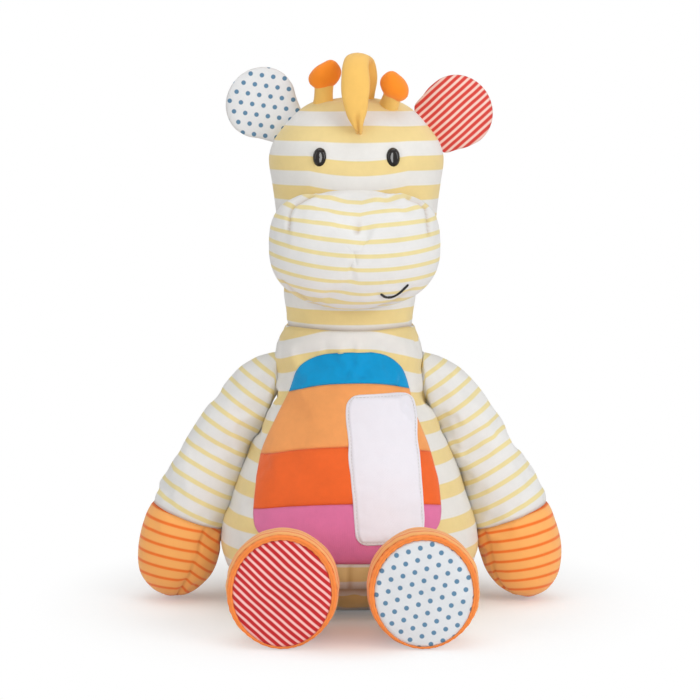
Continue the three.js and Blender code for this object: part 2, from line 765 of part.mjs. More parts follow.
// The muzzle's rounded block drawn in by an inset, as rings from its front to its back.
function muzzleSolid(inset, sides = bodySides) {
  const sizes = [muzzleHalfWidth, muzzleHalfDepth, muzzleHalfHeight];
  const [halfWidth, halfDepth, halfHeight] = sizes.map((size) => size - inset);
  const rings = Array.from({ length: muzzleRings - 1 }, (_, i) => {
    const angle = ((i + 1) / muzzleRings) * Math.PI;
    const size = Math.sin(angle) ** (2 / muzzleSquareness);
    const forward = Math.sign(Math.cos(angle)) * Math.abs(Math.cos(angle)) ** (2 / muzzleSquareness);
    const centre = muzzleCentre.clone().addScaledVector(axisY, -forward * halfDepth);
    const reaches = { halfAcross: halfWidth * size, front: halfHeight * size };
    return ovalRing({ centre, deep: axisZ, ...reaches, squareness: muzzleSquareness }, sides);
  });
  const [front, back] = [-1, 1].map((turn) => muzzleCentre.clone().addScaledVector(axisY, turn * halfDepth));
  return solidThrough(rings, front, back);
}

// Place above the muzzle's front at shares of its half width and half height.
function muzzleAt(acrossShare, upShare, lift) {
  const left = 1 - Math.abs(acrossShare) ** muzzleSquareness - Math.abs(upShare) ** muzzleSquareness;
  return muzzleCentre
    .clone()
    .addScaledVector(axisX, acrossShare * muzzleHalfWidth)
    .addScaledVector(axisZ, upShare * muzzleHalfHeight)
    .addScaledVector(axisY, -muzzleHalfDepth * left ** (1 / muzzleSquareness) - lift);
}

function makeMuzzle() {
  const chinRadius = Math.max(neckTopHalfWidth, neckTopHalfDepth) + chinClearance;
  const neckRoom = rodAlong(at(0, 0, headFoot), axisZ, chinRadius, seamGap, cutOverrun, bodySides);
  const cutBack = (solid) => solid.subtract(headSolid(-seamGap)).subtract(neckRoom);
  const skin = muzzleSolid(0).subtract(muzzleSolid(coverThickness, bodySides / 2));
  addPiece("muzzle_cover", "sleeve", cutBack(skin));
  addPiece("muzzle_filling", "filling", cutBack(muzzleSolid(fillingInset, bodySides / 2)));
  const lift = smileRadius + seamGap;
  const places = smileShares.map(([acrossShare, upShare]) => muzzleAt(acrossShare, upShare, lift));
  const thickness = () => smileRadius;
  addPiece(
    "smile_thread",
    "thread",
    flatTube(new THREE.CatmullRomCurve3(places), smileSteps, thickness, thickness, axisY),
  );
}

function makeHorns() {
  for (const [side, { acrossShare, forwardShare, lean, tilt }] of Object.entries(horns)) {
    const base = crownAt(headOffset + acrossShare * headHalfWidth, -forwardShare * headFrontDepth);
    const up = axisZ.clone().applyAxisAngle(axisX, degToRad(tilt)).applyAxisAngle(axisY, degToRad(lean));
    const stalkOf = (grown) => rodAlong(base, up, stalkRadius + grown, stalkLength + grown, stalkSink);
    addPiece(`horn_stalk_${side}`, "golden", stalkOf(0).subtract(headSolid(-seamGap)));
    const centre = base.clone().addScaledVector(up, stalkLength - tipOverlap + tipHalfHeight);
    const tip = ballAt(centre, up, tipHalfHeight, tipRadius, smallSides);
    addPiece(`horn_tip_${side}`, "hornTip", tip.subtract(stalkOf(seamGap)));
  }
}

// The ear's hinge: the middle of its seam just off the head's corner, and the ways out and along the seam.
function earFrame(side) {
  const { riseShare, lean } = ears[side];
  const { centreX, halfWidth } = headSizeAt(riseShare);
  const turn = turnOf[side];
  const out = at(turn * Math.sin(degToRad(lean)), 0, Math.cos(degToRad(lean)));
  const surface = at(centreX + turn * halfWidth, 0, headFoot + riseShare * headHeight);
  const root = surface.addScaledVector(out, earRootHalfThickness + earRootGap);
  return { root, out, along: axisY.clone().cross(out) };
}

function earSolid(side) {
  const { root, out, along } = earFrame(side);
  const placeAt = (reach) => root.clone().addScaledVector(out, reach);
  const ringAt = (reach, halfAcross, front) =>
    ovalRing({ centre: placeAt(reach), across: along, halfAcross, front }, smallSides);
  const bodyRings = earProfileShares.map(([length, wide, thick]) => {
    const halfWidth = lerp(earHalfWidth * ears[side].rootShare, earHalfWidth, wide);
    return ringAt(length * earLength, halfWidth, lerp(earRootHalfThickness, earHalfThickness, thick));
  });
  // The tip is a half oval beyond the widest ring.
  const widest = earProfileShares.at(-1)[0] * earLength;
  const tipRings = Array.from({ length: earTipRings }, (_, i) => {
    const angle = ((i + 1) / (earTipRings + 1)) * (Math.PI / 2);
    const thick = earHalfThickness * lerp(earTipThicknessShare, 1, Math.cos(angle));
    return ringAt(lerp(widest, earLength, Math.sin(angle)), earHalfWidth * Math.cos(angle), thick);
  });
  return solidThrough([...bodyRings, ...tipRings], placeAt(-earRootHalfThickness), placeAt(earLength));
}

function makeEars() {
  for (const side of Object.keys(ears)) {
    const ear = earSolid(side);
    addPiece(`ear_front_${side}`, ears[side].print, ear.subtract(behind(-seamGap / 2)));
    addPiece(`ear_back_${side}`, "cover", ear.subtract(ahead(seamGap / 2)));
  }
}

function makeForelock() {
  const places = forelockShares.map(([across, forward, up]) =>
    at(headOffset + across * headHalfWidth, -forward * headFrontDepth, headFoot + up * headHeight),
  );
  const widths = forelockShares.map((row, i) => [i / (forelockShares.length - 1), row.at(-1)]);
  const widthAt = (share) => forelockHalfWidth * smoothAt(widths, 1, share);
  const lock = flatTube(new THREE.CatmullRomCurve3(places), maneSteps, widthAt, () => forelockHalfThickness);
  addPiece("forelock", "golden", lock.subtract(headSolid(-seamGap)));
}

function makeManeLoops() {
  const backAt = (share) => at(headOffset, headSizeAt(share).back, headFoot + share * headHeight);
  for (const { name, riseShare } of maneLoops) {
    const step = loopSpread / headHeight / 2;
    const along = backAt(riseShare + step).sub(backAt(riseShare - step)).normalize();
    const out = along.clone().cross(axisX);
    const places = loopShares.map(([up, away]) =>
      backAt(riseShare)
        .addScaledVector(along, up * loopSpread)
        .addScaledVector(out, lerp(-loopSink, loopReach, away)),
    );
    const curve = new THREE.CatmullRomCurve3(places);
    const loop = flatTube(curve, maneSteps, () => loopHalfWidth, () => loopHalfThickness);
    addPiece(name, "golden", loop.subtract(headSolid(-seamGap)));
  }
}

// Middle of the arm at each row of its table, found by following its lean from the shoulder.
function armCentres(turn) {
  let x = torsoSizeAt(shoulderHeight).halfWidth - shoulderInset;
  return armShares.map(([drop, lean], row) => {
    const [lastDrop, lastLean] = armShares[Math.max(row - 1, 0)];
    x += (drop - lastDrop) * armDrop * Math.tan(degToRad((lean + lastLean) / 2));
    return at(turn * x, 0, shoulderHeight - drop * armDrop);
  });
}

function armSolid(turn, inset, sides) {
  const centres = armCentres(turn);
  const rings = armShares.map(([, lean, half], row) => {
    const across = at(turn * Math.cos(degToRad(lean)), 0, Math.sin(degToRad(lean)));
    const halfWidth = half * armHalfWidth;
    const reaches = { halfAcross: halfWidth - inset, front: halfWidth * armDepthShare - inset };
    return ovalRing({ centre: centres[row], across, ...reaches }, sides);
  });
  const tip = centres.at(-1).clone().setZ(shoulderHeight - armDrop + inset);
  return solidThrough(rings, undefined, tip);
}

// Room for the torso's side, turned all round the shoulder's axis so that the arm can swing past it.
function shoulderRoom(turn) {
  const widest = torsoWidestShare * torsoHeight;
  const reachAt = (share) =>
    torsoSizeAt(Math.max(shoulderHeight - share * armDrop, widest)).halfWidth + armClearance;
  const ringAt = (share, x) => {
    const radius = share * armDrop;
    return ovalRing(
      { centre: at(turn * x, 0, shoulderHeight), across: axisZ, halfAcross: radius, front: radius },
      limbSides,
    );
  };
  const rings = shoulderRingShares.map((share) => ringAt(share, reachAt(share)));
  const hub = at(turn * reachAt(0), 0, shoulderHeight);
  return solidThrough([...rings, ringAt(shoulderRingShares.at(-1), 0)], hub);
}

function makeArms() {
  for (const [side, turn] of Object.entries(turnOf)) {
    const room = shoulderRoom(turn);
    const wrist = armCentres(turn)[wristRow];
    const lean = degToRad(armShares[wristRow][1]);
    const towardsHand = at(turn * Math.sin(lean), 0, -Math.cos(lean));
    const handPart = rodAlong(wrist, towardsHand, armDrop, armDrop, -seamGap / 2);
    const sleevePart = rodAlong(wrist, towardsHand, armDrop, -seamGap / 2, armDrop * 2);
    const inside = armSolid(turn, coverThickness, limbSides / 2);
    const skin = armSolid(turn, 0, limbSides).subtract(inside).subtract(room);
    addPiece(`arm_sleeve_${side}`, "sleeve", skin.intersect(sleevePart));
    addPiece(`hand_cover_${side}`, "hand", skin.intersect(handPart));
    addPiece(`arm_filling_${side}`, "filling", armSolid(turn, fillingInset, limbSides / 2).subtract(room));
  }
}

// How far back the leg's round end reaches at a share of its height.
const hipRoundReach = (share, inset) => (hipRootRadius - inset) * Math.sqrt(1 - share * share);

// The middle of a hip's seam: it lies straight across, its inner end just off the flats of the torso's front.
function hipRoot(turn) {
  const x = hipCentreX + (turn * hipSpacing) / 2;
  const innerX = x - turn * legShares[0][1] * legHalfWidth;
  const { halfWidth, front } = torsoSizeAt(hipHeight);
  const flats = front * ovalDepthShare(innerX / halfWidth, torsoSquareness) * Math.cos(Math.PI / bodySides);
  return at(x, -flats - hipGap - hipRoundReach(hipRoundShares[0], 0), hipHeight);
}

const pipingHalfUp = soleHalfHeight + seamGap + pipingHalfWidth;
const footCentreHeight = pipingHalfUp + pipingHalfWidth - floorCut;
const soleBack = -(ankleForward + footLength + seamGap);

// A leg and its foot drawn in by an inset all over, and carried on past the sole if they overrun.
function legSolid(turn, inset, sides, overrun = 0) {
  const root = hipRoot(turn);
  const ankle = at(root.x, -ankleForward, ankleHeight);
  const ringOf = (centre, wide, high) =>
    ovalRing({ centre, deep: axisZ, halfAcross: wide - inset, front: high - inset }, sides);
  const roundRings = hipRoundShares.map((share) => {
    const high = inset + (hipRootRadius - inset) * share;
    const centre = root.clone().addScaledVector(axisY, hipRoundReach(share, inset));
    return ringOf(centre, legShares[0][1] * legHalfWidth, high);
  });
  const legRings = legShares.map(([share, wide, high]) =>
    ringOf(root.clone().lerp(ankle, share), wide * legHalfWidth, high * legHalfHeight),
  );
  const footRing = ([share, wide, high], extra = 0) => {
    const level = lerp(ankleHeight, footCentreHeight, smoothstep(share, 0, footRiseShare));
    const centre = at(ankle.x, -ankleForward - share * footLength - extra, level);
    return ringOf(centre, wide * footHalfWidth, high * footHalfHeight);
  };
  const footRings = footShares.map((row) => footRing(row));
  if (overrun > 0) footRings.push(footRing(footShares.at(-1), overrun));
  const heel = root.clone().addScaledVector(axisY, hipRootRadius - inset);
  return solidThrough([...roundRings, ...legRings, ...footRings], heel);
}

function makeLegs() {
  const [footPart, legPart] = [ahead(-ankleForward + seamGap / 2), behind(-ankleForward - seamGap / 2)];
  for (const [side, turn] of Object.entries(turnOf)) {
    const inside = legSolid(turn, coverThickness, limbSides / 2, cutOverrun);
    const skin = legSolid(turn, 0, limbSides).subtract(inside).subtract(below(0));
    addPiece(`leg_cover_${side}`, "sleeve", skin.subtract(footPart));
    addPiece(`foot_cover_${side}`, "foot", skin.subtract(legPart));
    addPiece(`leg_filling_${side}`, "filling", legSolid(turn, fillingInset, limbSides / 2));
  }
}

function makeSoles() {
  for (const [side, turn] of Object.entries(turnOf)) {
    const centre = at(hipCentreX + (turn * hipSpacing) / 2, soleBack, footCentreHeight);
    const placeAt = (reach) => centre.clone().addScaledVector(axisY, -reach);
    const ringAt = (reach, size) => {
      const reaches = { halfAcross: soleHalfWidth * size, front: soleHalfHeight * size };
      return ovalRing({ centre: placeAt(reach), deep: axisZ, ...reaches }, soleSides);
    };
    const crownRings = soleCrownShares.map(([depth, size]) => ringAt(soleThickness + soleDomeDepth * depth, size));
    const rings = [ringAt(0, 1), ringAt(soleThickness, 1), ...crownRings];
    const sole = solidThrough(rings, centre, placeAt(soleThickness + soleDomeDepth));
    addPiece(`sole_${side}`, side === "left" ? "redStriped" : "dotted", sole);
    const pipingHalfAcross = soleHalfWidth + seamGap + pipingHalfWidth;
    const middle = placeAt(pipingHalfDepth);
    const hoop = ovalHoop(middle, pipingHalfAcross, pipingHalfUp, pipingHalfWidth, pipingHalfDepth);
    addPiece(`foot_piping_${side}`, "foot", hoop.subtract(below(0)));
  }
}

function makeTail() {
  const seam = at(0, torsoSizeAt(tailHeight).back + tailRootGap, tailHeight);
  const root = seam.clone().addScaledVector(axisY, tailRadius);
  const end = root.clone().add(at(0, tailReach, -tailDrop));
  const bend = root.clone().add(at(0, tailReach * tailBendShare, 0));
  const curve = new THREE.QuadraticBezierCurve3(root, bend, end);
  const radius = () => tailRadius;
  addPiece("tail", "golden", flatTube(curve, tailSteps, radius, radius, axisX, seam));
  const down = curve.getTangentAt(1);
  const centre = end.clone().addScaledVector(down, tuftHalfLength - tailRadius);
  const tuft = ballAt(centre, down, tuftHalfLength, tuftHalfWidth, tubeSides);
  const tailEnd = rodAlong(end, down, tuftHalfLength, seamGap, tuftHalfLength);
  addPiece("tail_tuft", "hornTip", tuft.subtract(tailEnd));
}

makeTorso();
makeTummy();
makePatch();
makeNeck();
makeHead();
makeMuzzle();
makeHorns();
makeEars();
makeForelock();
makeManeLoops();
makeArms();
makeLegs();
makeSoles();
makeTail();

export default giraffe;
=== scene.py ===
"""A seated patchwork plush giraffe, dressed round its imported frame.

Sizes in this file are in millimetres, as in the part's source, and meshes are made in metres.
+Z is up, the toy faces -Y, and left is -X, as seen by someone who looks at its face.
"""
import logging
import math
from dataclasses import dataclass, field
from enum import Enum

import bpy
import numpy as np
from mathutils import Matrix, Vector
from mathutils.bvhtree import BVHTree

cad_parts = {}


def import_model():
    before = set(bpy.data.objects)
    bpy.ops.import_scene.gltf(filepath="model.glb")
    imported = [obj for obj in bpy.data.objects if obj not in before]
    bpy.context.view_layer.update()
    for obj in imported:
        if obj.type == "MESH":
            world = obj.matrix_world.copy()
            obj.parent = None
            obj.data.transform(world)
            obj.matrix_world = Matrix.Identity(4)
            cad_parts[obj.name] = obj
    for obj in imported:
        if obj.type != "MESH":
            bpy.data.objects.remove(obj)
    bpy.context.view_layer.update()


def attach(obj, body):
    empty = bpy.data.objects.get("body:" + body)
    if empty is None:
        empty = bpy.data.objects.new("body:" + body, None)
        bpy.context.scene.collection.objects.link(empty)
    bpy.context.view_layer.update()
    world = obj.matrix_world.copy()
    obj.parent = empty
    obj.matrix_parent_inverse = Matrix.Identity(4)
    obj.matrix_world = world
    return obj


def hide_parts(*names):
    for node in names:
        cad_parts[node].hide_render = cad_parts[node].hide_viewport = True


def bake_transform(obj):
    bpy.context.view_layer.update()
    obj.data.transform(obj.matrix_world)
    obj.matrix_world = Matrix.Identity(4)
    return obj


log = logging.getLogger("giraffe")

MM = 0.001
UP = np.array([0.0, 0.0, 1.0])
RIGHT = np.array([1.0, 0.0, 0.0])
BACKWARD = np.array([0.0, 1.0, 0.0])
FACE_STEP = 2.2
FINE_STRIPE = 10.66
HAND_STRIPE = 7.7
WIDE_STRIPE = 20.6
WHITE = (1.0, 1.0, 1.0, 1.0)


class Side(Enum):
    """The two sides of the toy, with the sign of X on each."""

    LEFT = -1
    RIGHT = 1

    @property
    def label(self) -> str:
        """Word for the side in the names of pieces and bodies."""
        return self.name.lower()


Colour = tuple[int, int, int]
Socket = bpy.types.NodeSocket
Table = tuple[tuple[float, ...], ...]


def linear(colour: Colour) -> tuple[float, float, float, float]:
    """Turns an 8-bit screen colour into the linear one that shaders take."""
    parts = [c / 255 for c in colour]
    return (*(p / 12.92 if p <= 0.04045 else ((p + 0.055) / 1.055) ** 2.4 for p in parts), 1.0)


class Wiring:
    """Short ways to add nodes to a node tree and join them."""

    def __init__(self, tree: bpy.types.NodeTree) -> None:
        """Keeps the tree that the nodes go into."""
        self.tree = tree

    def feed(self, inputs: bpy.types.NodeInputs, values: dict[str | int, object]) -> None:
        """Sets inputs of a node to values, or links sockets to them.

        Args:
            inputs: The node's inputs.
            values: Values or sockets, by the input's name or number.
        """
        for key, value in values.items():
            if isinstance(value, Socket):
                self.tree.links.new(value, inputs[key])
            else:
                inputs[key].default_value = value

    def node(self, kind: str, inputs: dict[str | int, object] | None = None, **settings: object) -> bpy.types.Node:
        """Adds a node.

        Args:
            kind: Blender's name for the node's type.
            inputs: Values or sockets for its inputs, by name or number.
            settings: Values for its own properties.

        Returns:
            The new node.
        """
        made = self.tree.nodes.new(kind)
        for key, value in settings.items():
            setattr(made, key, value)
        self.feed(made.inputs, inputs or {})
        return made

    def math(self, operation: str, *values: float | Socket) -> Socket:
        """Adds a Math node and returns its result."""
        return self.node("ShaderNodeMath", dict(enumerate(values)), operation=operation).outputs[0]

    def vector(self, operation: str, *values: object) -> Socket:
        """Adds a Vector Math node and returns its vector."""
        return self.node("ShaderNodeVectorMath", dict(enumerate(values)), operation=operation).outputs[0]

    def length(self, *values: object) -> Socket:
        """Length of a vector, or the distance between two."""
        word = "LENGTH" if len(values) == 1 else "DISTANCE"
        return self.node("ShaderNodeVectorMath", dict(enumerate(values)), operation=word).outputs["Value"]

    def mix(self, share: float | Socket, first: object, second: object, blend: str = "MIX") -> Socket:
        """Mixes two colours.

        Args:
            share: How much of the second colour shows.
            first: A colour or its socket.
            second: A colour or its socket.
            blend: Blender's name for the way of mixing.

        Returns:
            The mixed colour.
        """
        made = self.node("ShaderNodeMix", {0: share, 6: first, 7: second}, data_type="RGBA", blend_type=blend)
        return made.outputs[2]

    def scaled(self, value: Socket, gain: float | Socket, shift: float | Socket) -> Socket:
        """A value times a gain, plus a shift."""
        return self.math("ADD", self.math("MULTIPLY", value, gain), shift)

    def soft_mask(self, inside: Socket, softness: Socket) -> Socket:
        """A mask that is 1 inside an edge and 0 outside it, with the edge as wide as the softness."""
        edge = self.math("ADD", self.math("DIVIDE", inside, softness), 0.5)
        return self.node("ShaderNodeClamp", {"Value": edge}).outputs[0]

    def noise(self, place: Socket, scale: float, detail: float, roughness: float = 0.5) -> Socket:
        """Smooth random grey from 0 to 1."""
        inputs = {"Vector": place, "Scale": scale, "Detail": detail, "Roughness": roughness}
        return self.node("ShaderNodeTexNoise", inputs).outputs[0]

    def split(self, vector: Socket) -> bpy.types.NodeOutputs:
        """The three parts of a vector."""
        return self.node("ShaderNodeSeparateXYZ", {0: vector}).outputs

    def joined(self, x: object, y: object, z: object = 0.0) -> Socket:
        """A vector from its three parts."""
        return self.node("ShaderNodeCombineXYZ", {0: x, 1: y, 2: z}).outputs[0]

    def group(self, name: str, inputs: dict[str, object]) -> bpy.types.NodeOutputs:
        """Places a node group with its own values, and returns its outputs."""
        return self.node("ShaderNodeGroup", inputs, node_tree=bpy.data.node_groups[name]).outputs

    def read(self, key: str) -> Socket:
        """Adds a node that reads one of the mesh's own numbers."""
        return self.node("ShaderNodeAttribute", attribute_name=key).outputs["Fac"]

    def place(self) -> Socket:
        """Adds the piece's own coordinates."""
        return self.node("ShaderNodeTexCoord").outputs["Object"]

    def cloth(self) -> Socket:
        """Adds the piece's cloth map, in metres along the cloth."""
        return self.node("ShaderNodeUVMap", uv_map="cloth").outputs[0]

    def seen(self) -> Socket:
        """Adds a mask of the rays that show a thing straight, in a mirror or through glass."""
        ray = self.node("ShaderNodeLightPath").outputs
        bent = self.math("MAXIMUM", ray["Is Glossy Ray"], ray["Is Transmission Ray"])
        return self.math("MAXIMUM", ray["Is Camera Ray"], bent)


@dataclass(frozen=True)
class GroupSocket:
    """One named input or output of a node group."""

    name: str
    kind: str = "NodeSocketFloat"
    value: object = None


CLOTH_MAP = GroupSocket("Cloth", "NodeSocketVector")
PLACE = GroupSocket("Place", "NodeSocketVector")


def start_group(
    name: str, inputs: tuple[GroupSocket, ...], outputs: tuple[GroupSocket, ...]
) -> tuple[Wiring, bpy.types.NodeOutputs, bpy.types.NodeInputs]:
    """Makes an empty shader node group with named sockets.

    Args:
        name: Name of the group.
        inputs: Its inputs.
        outputs: Its outputs.

    Returns:
        The group's wiring, the sockets that it is given and the ones that it gives out.
    """
    tree = bpy.data.node_groups.new(name, "ShaderNodeTree")
    for sockets, way in ((inputs, "INPUT"), (outputs, "OUTPUT")):
        for socket in sockets:
            made = tree.interface.new_socket(socket.name, in_out=way, socket_type=socket.kind)
            if socket.value is not None:
                made.default_value = socket.value
    w = Wiring(tree)
    return w, w.node("NodeGroupInput").outputs, w.node("NodeGroupOutput").inputs


def add_stripes_group() -> None:
    """Adds the group that makes stripes round each whole number of a place, with soft edges."""
    w, given, out = start_group(
        "stripe bands",
        (GroupSocket("Place"), GroupSocket("Share", value=0.5), GroupSocket("Softness", value=0.03)),
        (GroupSocket("Mask"),),
    )
    from_middle = w.math("PINGPONG", w.math("ABSOLUTE", given["Place"]), 0.5)
    inside = w.math("SUBTRACT", w.math("MULTIPLY", given["Share"], 0.5), from_middle)
    w.feed(out, {"Mask": w.soft_mask(inside, given["Softness"])})


def add_dots_group() -> None:
    """Adds the group that makes round dots in staggered rows on a flat place."""
    spacing, diameter, softness = 0.008, 0.003, 0.0004
    w, given, out = start_group(
        "printed dots",
        (
            PLACE,
            GroupSocket("Spacing", value=spacing),
            GroupSocket("Diameter", value=diameter),
            GroupSocket("Softness", value=softness),
        ),
        (GroupSocket("Mask"),),
    )
    row = w.math("MULTIPLY", given["Spacing"], math.sqrt(3))
    cell = w.joined(given["Spacing"], row, 1.0)
    flat = w.vector("DIVIDE", given["Place"], cell)
    distances = []
    for shift in (0.5, 0.0):
        moved = w.vector("FRACTION", w.vector("ADD", flat, (shift, shift, 0.5)))
        nearest = w.vector("SUBTRACT", moved, (0.5, 0.5, 0.5))
        distances.append(w.length(w.vector("MULTIPLY", nearest, w.vector("MULTIPLY", cell, (1.0, 1.0, 0.0)))))
    inside = w.math("SUBTRACT", w.math("MULTIPLY", given["Diameter"], 0.5), w.math("MINIMUM", *distances))
    w.feed(out, {"Mask": w.soft_mask(inside, given["Softness"])})


def add_knit_group() -> None:
    """Adds the relief of jersey: fine upright ribs of looped yarn under a short brushed nap."""
    wale, course = 0.0009, 0.0007
    loop_slant, rib_height, loop_height, fuzz_height, soft_height = 1.6, 0.45, 0.22, 0.9, 0.8
    w, given, out = start_group(
        "jersey knit",
        (CLOTH_MAP, PLACE, GroupSocket("Wale", value=wale), GroupSocket("Course", value=course)),
        (GroupSocket("Height"), GroupSocket("Nap")),
    )
    parts = w.split(given["Cloth"])
    leg = w.math("PINGPONG", w.math("DIVIDE", parts[0], given["Wale"]), 0.5)
    along = w.math("DIVIDE", parts[1], given["Course"])
    rib = w.math("SINE", w.math("MULTIPLY", leg, 2 * math.pi))
    loop = w.math("SINE", w.math("MULTIPLY", w.scaled(leg, loop_slant, along), 2 * math.pi))
    yarn = w.scaled(rib, rib_height, w.math("MULTIPLY", loop, loop_height))
    fuzz = w.noise(given["Place"], 1400.0, 3.0, 0.65)
    soft = w.noise(given["Place"], 260.0, 2.0)
    nap = w.scaled(fuzz, fuzz_height, w.math("MULTIPLY", soft, soft_height))
    w.feed(out, {"Height": w.math("ADD", yarn, nap), "Nap": w.math("MULTIPLY", w.math("ADD", fuzz, soft), 0.5)})


def add_weave_group() -> None:
    """Adds the relief of plain woven cotton, with threads that pass over and under each other."""
    thread, thread_height = 0.0005, 0.5
    w, given, out = start_group(
        "plain weave",
        (CLOTH_MAP, PLACE, GroupSocket("Thread", value=thread)),
        (GroupSocket("Height"), GroupSocket("Nap")),
    )
    parts = w.split(w.vector("DIVIDE", given["Cloth"], w.joined(given["Thread"], given["Thread"], 1.0)))
    warp, weft = (w.math("SINE", w.math("MULTIPLY", parts[i], math.pi)) for i in range(2))
    fuzz = w.noise(given["Place"], 900.0, 3.0, 0.6)
    w.feed(out, {"Height": w.scaled(w.math("MULTIPLY", warp, weft), thread_height, fuzz), "Nap": fuzz})


def add_dye_and_seam_shade_group() -> None:
    """Adds the cloth's dye colour, mottled and paler on its nap, and painted seam shade: a warm brown that darkens it
    in seams and grooves.
    """
    nap_share, middle_tone, seam_shade_tint = 0.8, 0.9, (0.6, 0.43, 0.31, 1.0)
    least_rough, nap_rough = 0.78, 0.2
    w, given, out = start_group(
        "dyed cloth with seam shade",
        (
            GroupSocket("Colour", "NodeSocketColor", (0.8, 0.8, 0.8, 1.0)),
            PLACE,
            GroupSocket("Nap", value=0.5),
            GroupSocket("Seam", value=0.0),
            GroupSocket("Mottle", value=0.1),
            GroupSocket("Seam Shade Strength", value=0.5),
        ),
        (GroupSocket("Colour", "NodeSocketColor"), GroupSocket("Roughness")),
    )
    broad = w.noise(given["Place"], 55.0, 3.0, 0.55)
    uneven = w.math("SUBTRACT", w.scaled(given["Nap"], nap_share, broad), middle_tone)
    gain = w.scaled(uneven, given["Mottle"], 1.0)
    grey = w.node("ShaderNodeCombineColor", dict.fromkeys(range(3), gain)).outputs[0]
    mottled = w.mix(1.0, given["Colour"], grey, "MULTIPLY")
    # painted shade: the warm brown that seams, grooves and shadowed places are darkened with
    deep = w.mix(1.0, mottled, seam_shade_tint, "MULTIPLY")
    seam = w.node("ShaderNodeClamp", {"Value": w.math("MULTIPLY", given["Seam"], given["Seam Shade Strength"])}).outputs[0]
    w.feed(out, {"Colour": w.mix(seam, mottled, deep), "Roughness": w.scaled(given["Nap"], nap_rough, least_rough)})


def start_look(name: str) -> tuple[bpy.types.Material, Wiring, bpy.types.NodeInputs]:
    """Makes a material with a Principled shader.

    Args:
        name: Name of the material.

    Returns:
        The material, its wiring and the shader's inputs.
    """
    made = bpy.data.materials.new(name)
    made.use_nodes = True
    return made, Wiring(made.node_tree), made.node_tree.nodes["Principled BSDF"].inputs


class Relief(Enum):
    """The two cloths of the toy, with the node group that gives each its relief."""

    KNIT = "jersey knit"
    WEAVE = "plain weave"


@dataclass(frozen=True)
class Cloth:
    """A plain dyed cloth."""

    name: str
    ground: Colour
    relief: Relief = Relief.KNIT
    mottle: float = 0.12
    seam_shade_strength: float = 0.55
    sheen: float = 0.25
    sheen_roughness: float = 0.45
    shine: float = 0.2
    depth: float = 0.00022
    strength: float = 0.35

    def paint(self, w: Wiring) -> object:
        """Colour of the cloth before its mottle and painted seam shade: here one plain colour."""
        return linear(self.ground)

    def make(self) -> bpy.types.Material:
        """Makes the material.

        Returns:
            The new material.
        """
        made, w, shader = start_look(self.name)
        made.diffuse_color = linear(self.ground)
        relief = w.group(self.relief.value, {"Cloth": w.cloth(), "Place": w.place()})
        # the seam value marks where painted shade darkens the colour: seams, grooves, creases and places in shadow
        mottle_and_seam_shade = {"Nap": relief["Nap"], "Seam": w.read("seam"), "Mottle": self.mottle, "Seam Shade Strength": self.seam_shade_strength}
        dye = w.group("dyed cloth with seam shade", {"Colour": self.paint(w), "Place": w.place(), **mottle_and_seam_shade})
        bump = {"Height": relief["Height"], "Strength": self.strength, "Distance": self.depth}
        w.feed(
            shader,
            {
                "Base Color": dye["Colour"],
                "Roughness": dye["Roughness"],
                "Normal": w.node("ShaderNodeBump", bump).outputs[0],
                "Sheen Weight": self.sheen,
                "Sheen Roughness": self.sheen_roughness,
                "Specular IOR Level": self.shine,
            },
        )
        return made


@dataclass(frozen=True)
class StripedJersey(Cloth):
    """Jersey knitted in two colours, whose stripes follow the piece's own stripe places."""

    stripe: Colour = (240, 220, 155)
    share: float = 0.5
    softness: float = 0.04

    def stripes(self, w: Wiring, place: Socket) -> Socket:
        """The two colours, in stripes round each whole number of a place."""
        mask = w.group("stripe bands", {"Place": place, "Share": self.share, "Softness": self.softness})["Mask"]
        return w.mix(mask, linear(self.ground), linear(self.stripe))

    def paint(self, w: Wiring) -> object:
        """Colour of the two yarns."""
        return self.stripes(w, w.read("stripe"))


@dataclass(frozen=True)
class PrintedStripes(StripedJersey):
    """Woven cotton printed with even stripes at an angle on the flat of the piece."""

    relief: Relief = Relief.WEAVE
    share: float = 0.6
    softness: float = 0.12
    spacing: float = 4.1
    turn: float = 42.0
    wobble: float = 1.4
    wobble_scale: float = 40.0
    start: float = 200.0

    def paint(self, w: Wiring) -> object:
        """Colour of the print.

        Args:
            w: Wiring of the material.

        Returns:
            The colour's socket.
        """
        place = w.place()
        parts = w.split(place)
        turn = math.radians(self.turn)
        across = w.scaled(parts[0], math.sin(turn), w.math("MULTIPLY", parts[2], math.cos(turn)))
        moved = w.scaled(w.noise(place, self.wobble_scale, 1.0), self.wobble * MM, across)
        return self.stripes(w, w.math("ADD", w.math("DIVIDE", moved, self.spacing * MM), self.start))


@dataclass(frozen=True)
class PrintedDots(Cloth):
    """Woven cotton printed with staggered dots on the flat of the piece."""

    relief: Relief = Relief.WEAVE
    dot: Colour = (95, 135, 165)
    spacing: float = 8.3
    diameter: float = 3.3
    softness: float = 0.5
    turn: float = 17.3
    start: tuple[float, float] = (45.0, 61.5)

    def paint(self, w: Wiring) -> object:
        """Colour of the print.

        Args:
            w: Wiring of the material.

        Returns:
            The colour's socket.
        """
        parts = w.split(w.place())
        flat = w.joined(*(w.math("SUBTRACT", parts[i], at * MM) for i, at in zip((0, 2), self.start)))
        turned = w.node(
            "ShaderNodeVectorRotate", {"Vector": flat, "Angle": -math.radians(self.turn)}, rotation_type="Z_AXIS"
        ).outputs[0]
        sizes = {"Spacing": self.spacing * MM, "Diameter": self.diameter * MM, "Softness": self.softness * MM}
        mask = w.group("printed dots", {"Place": turned, **sizes})["Mask"]
        return w.mix(mask, linear(self.ground), linear(self.dot))


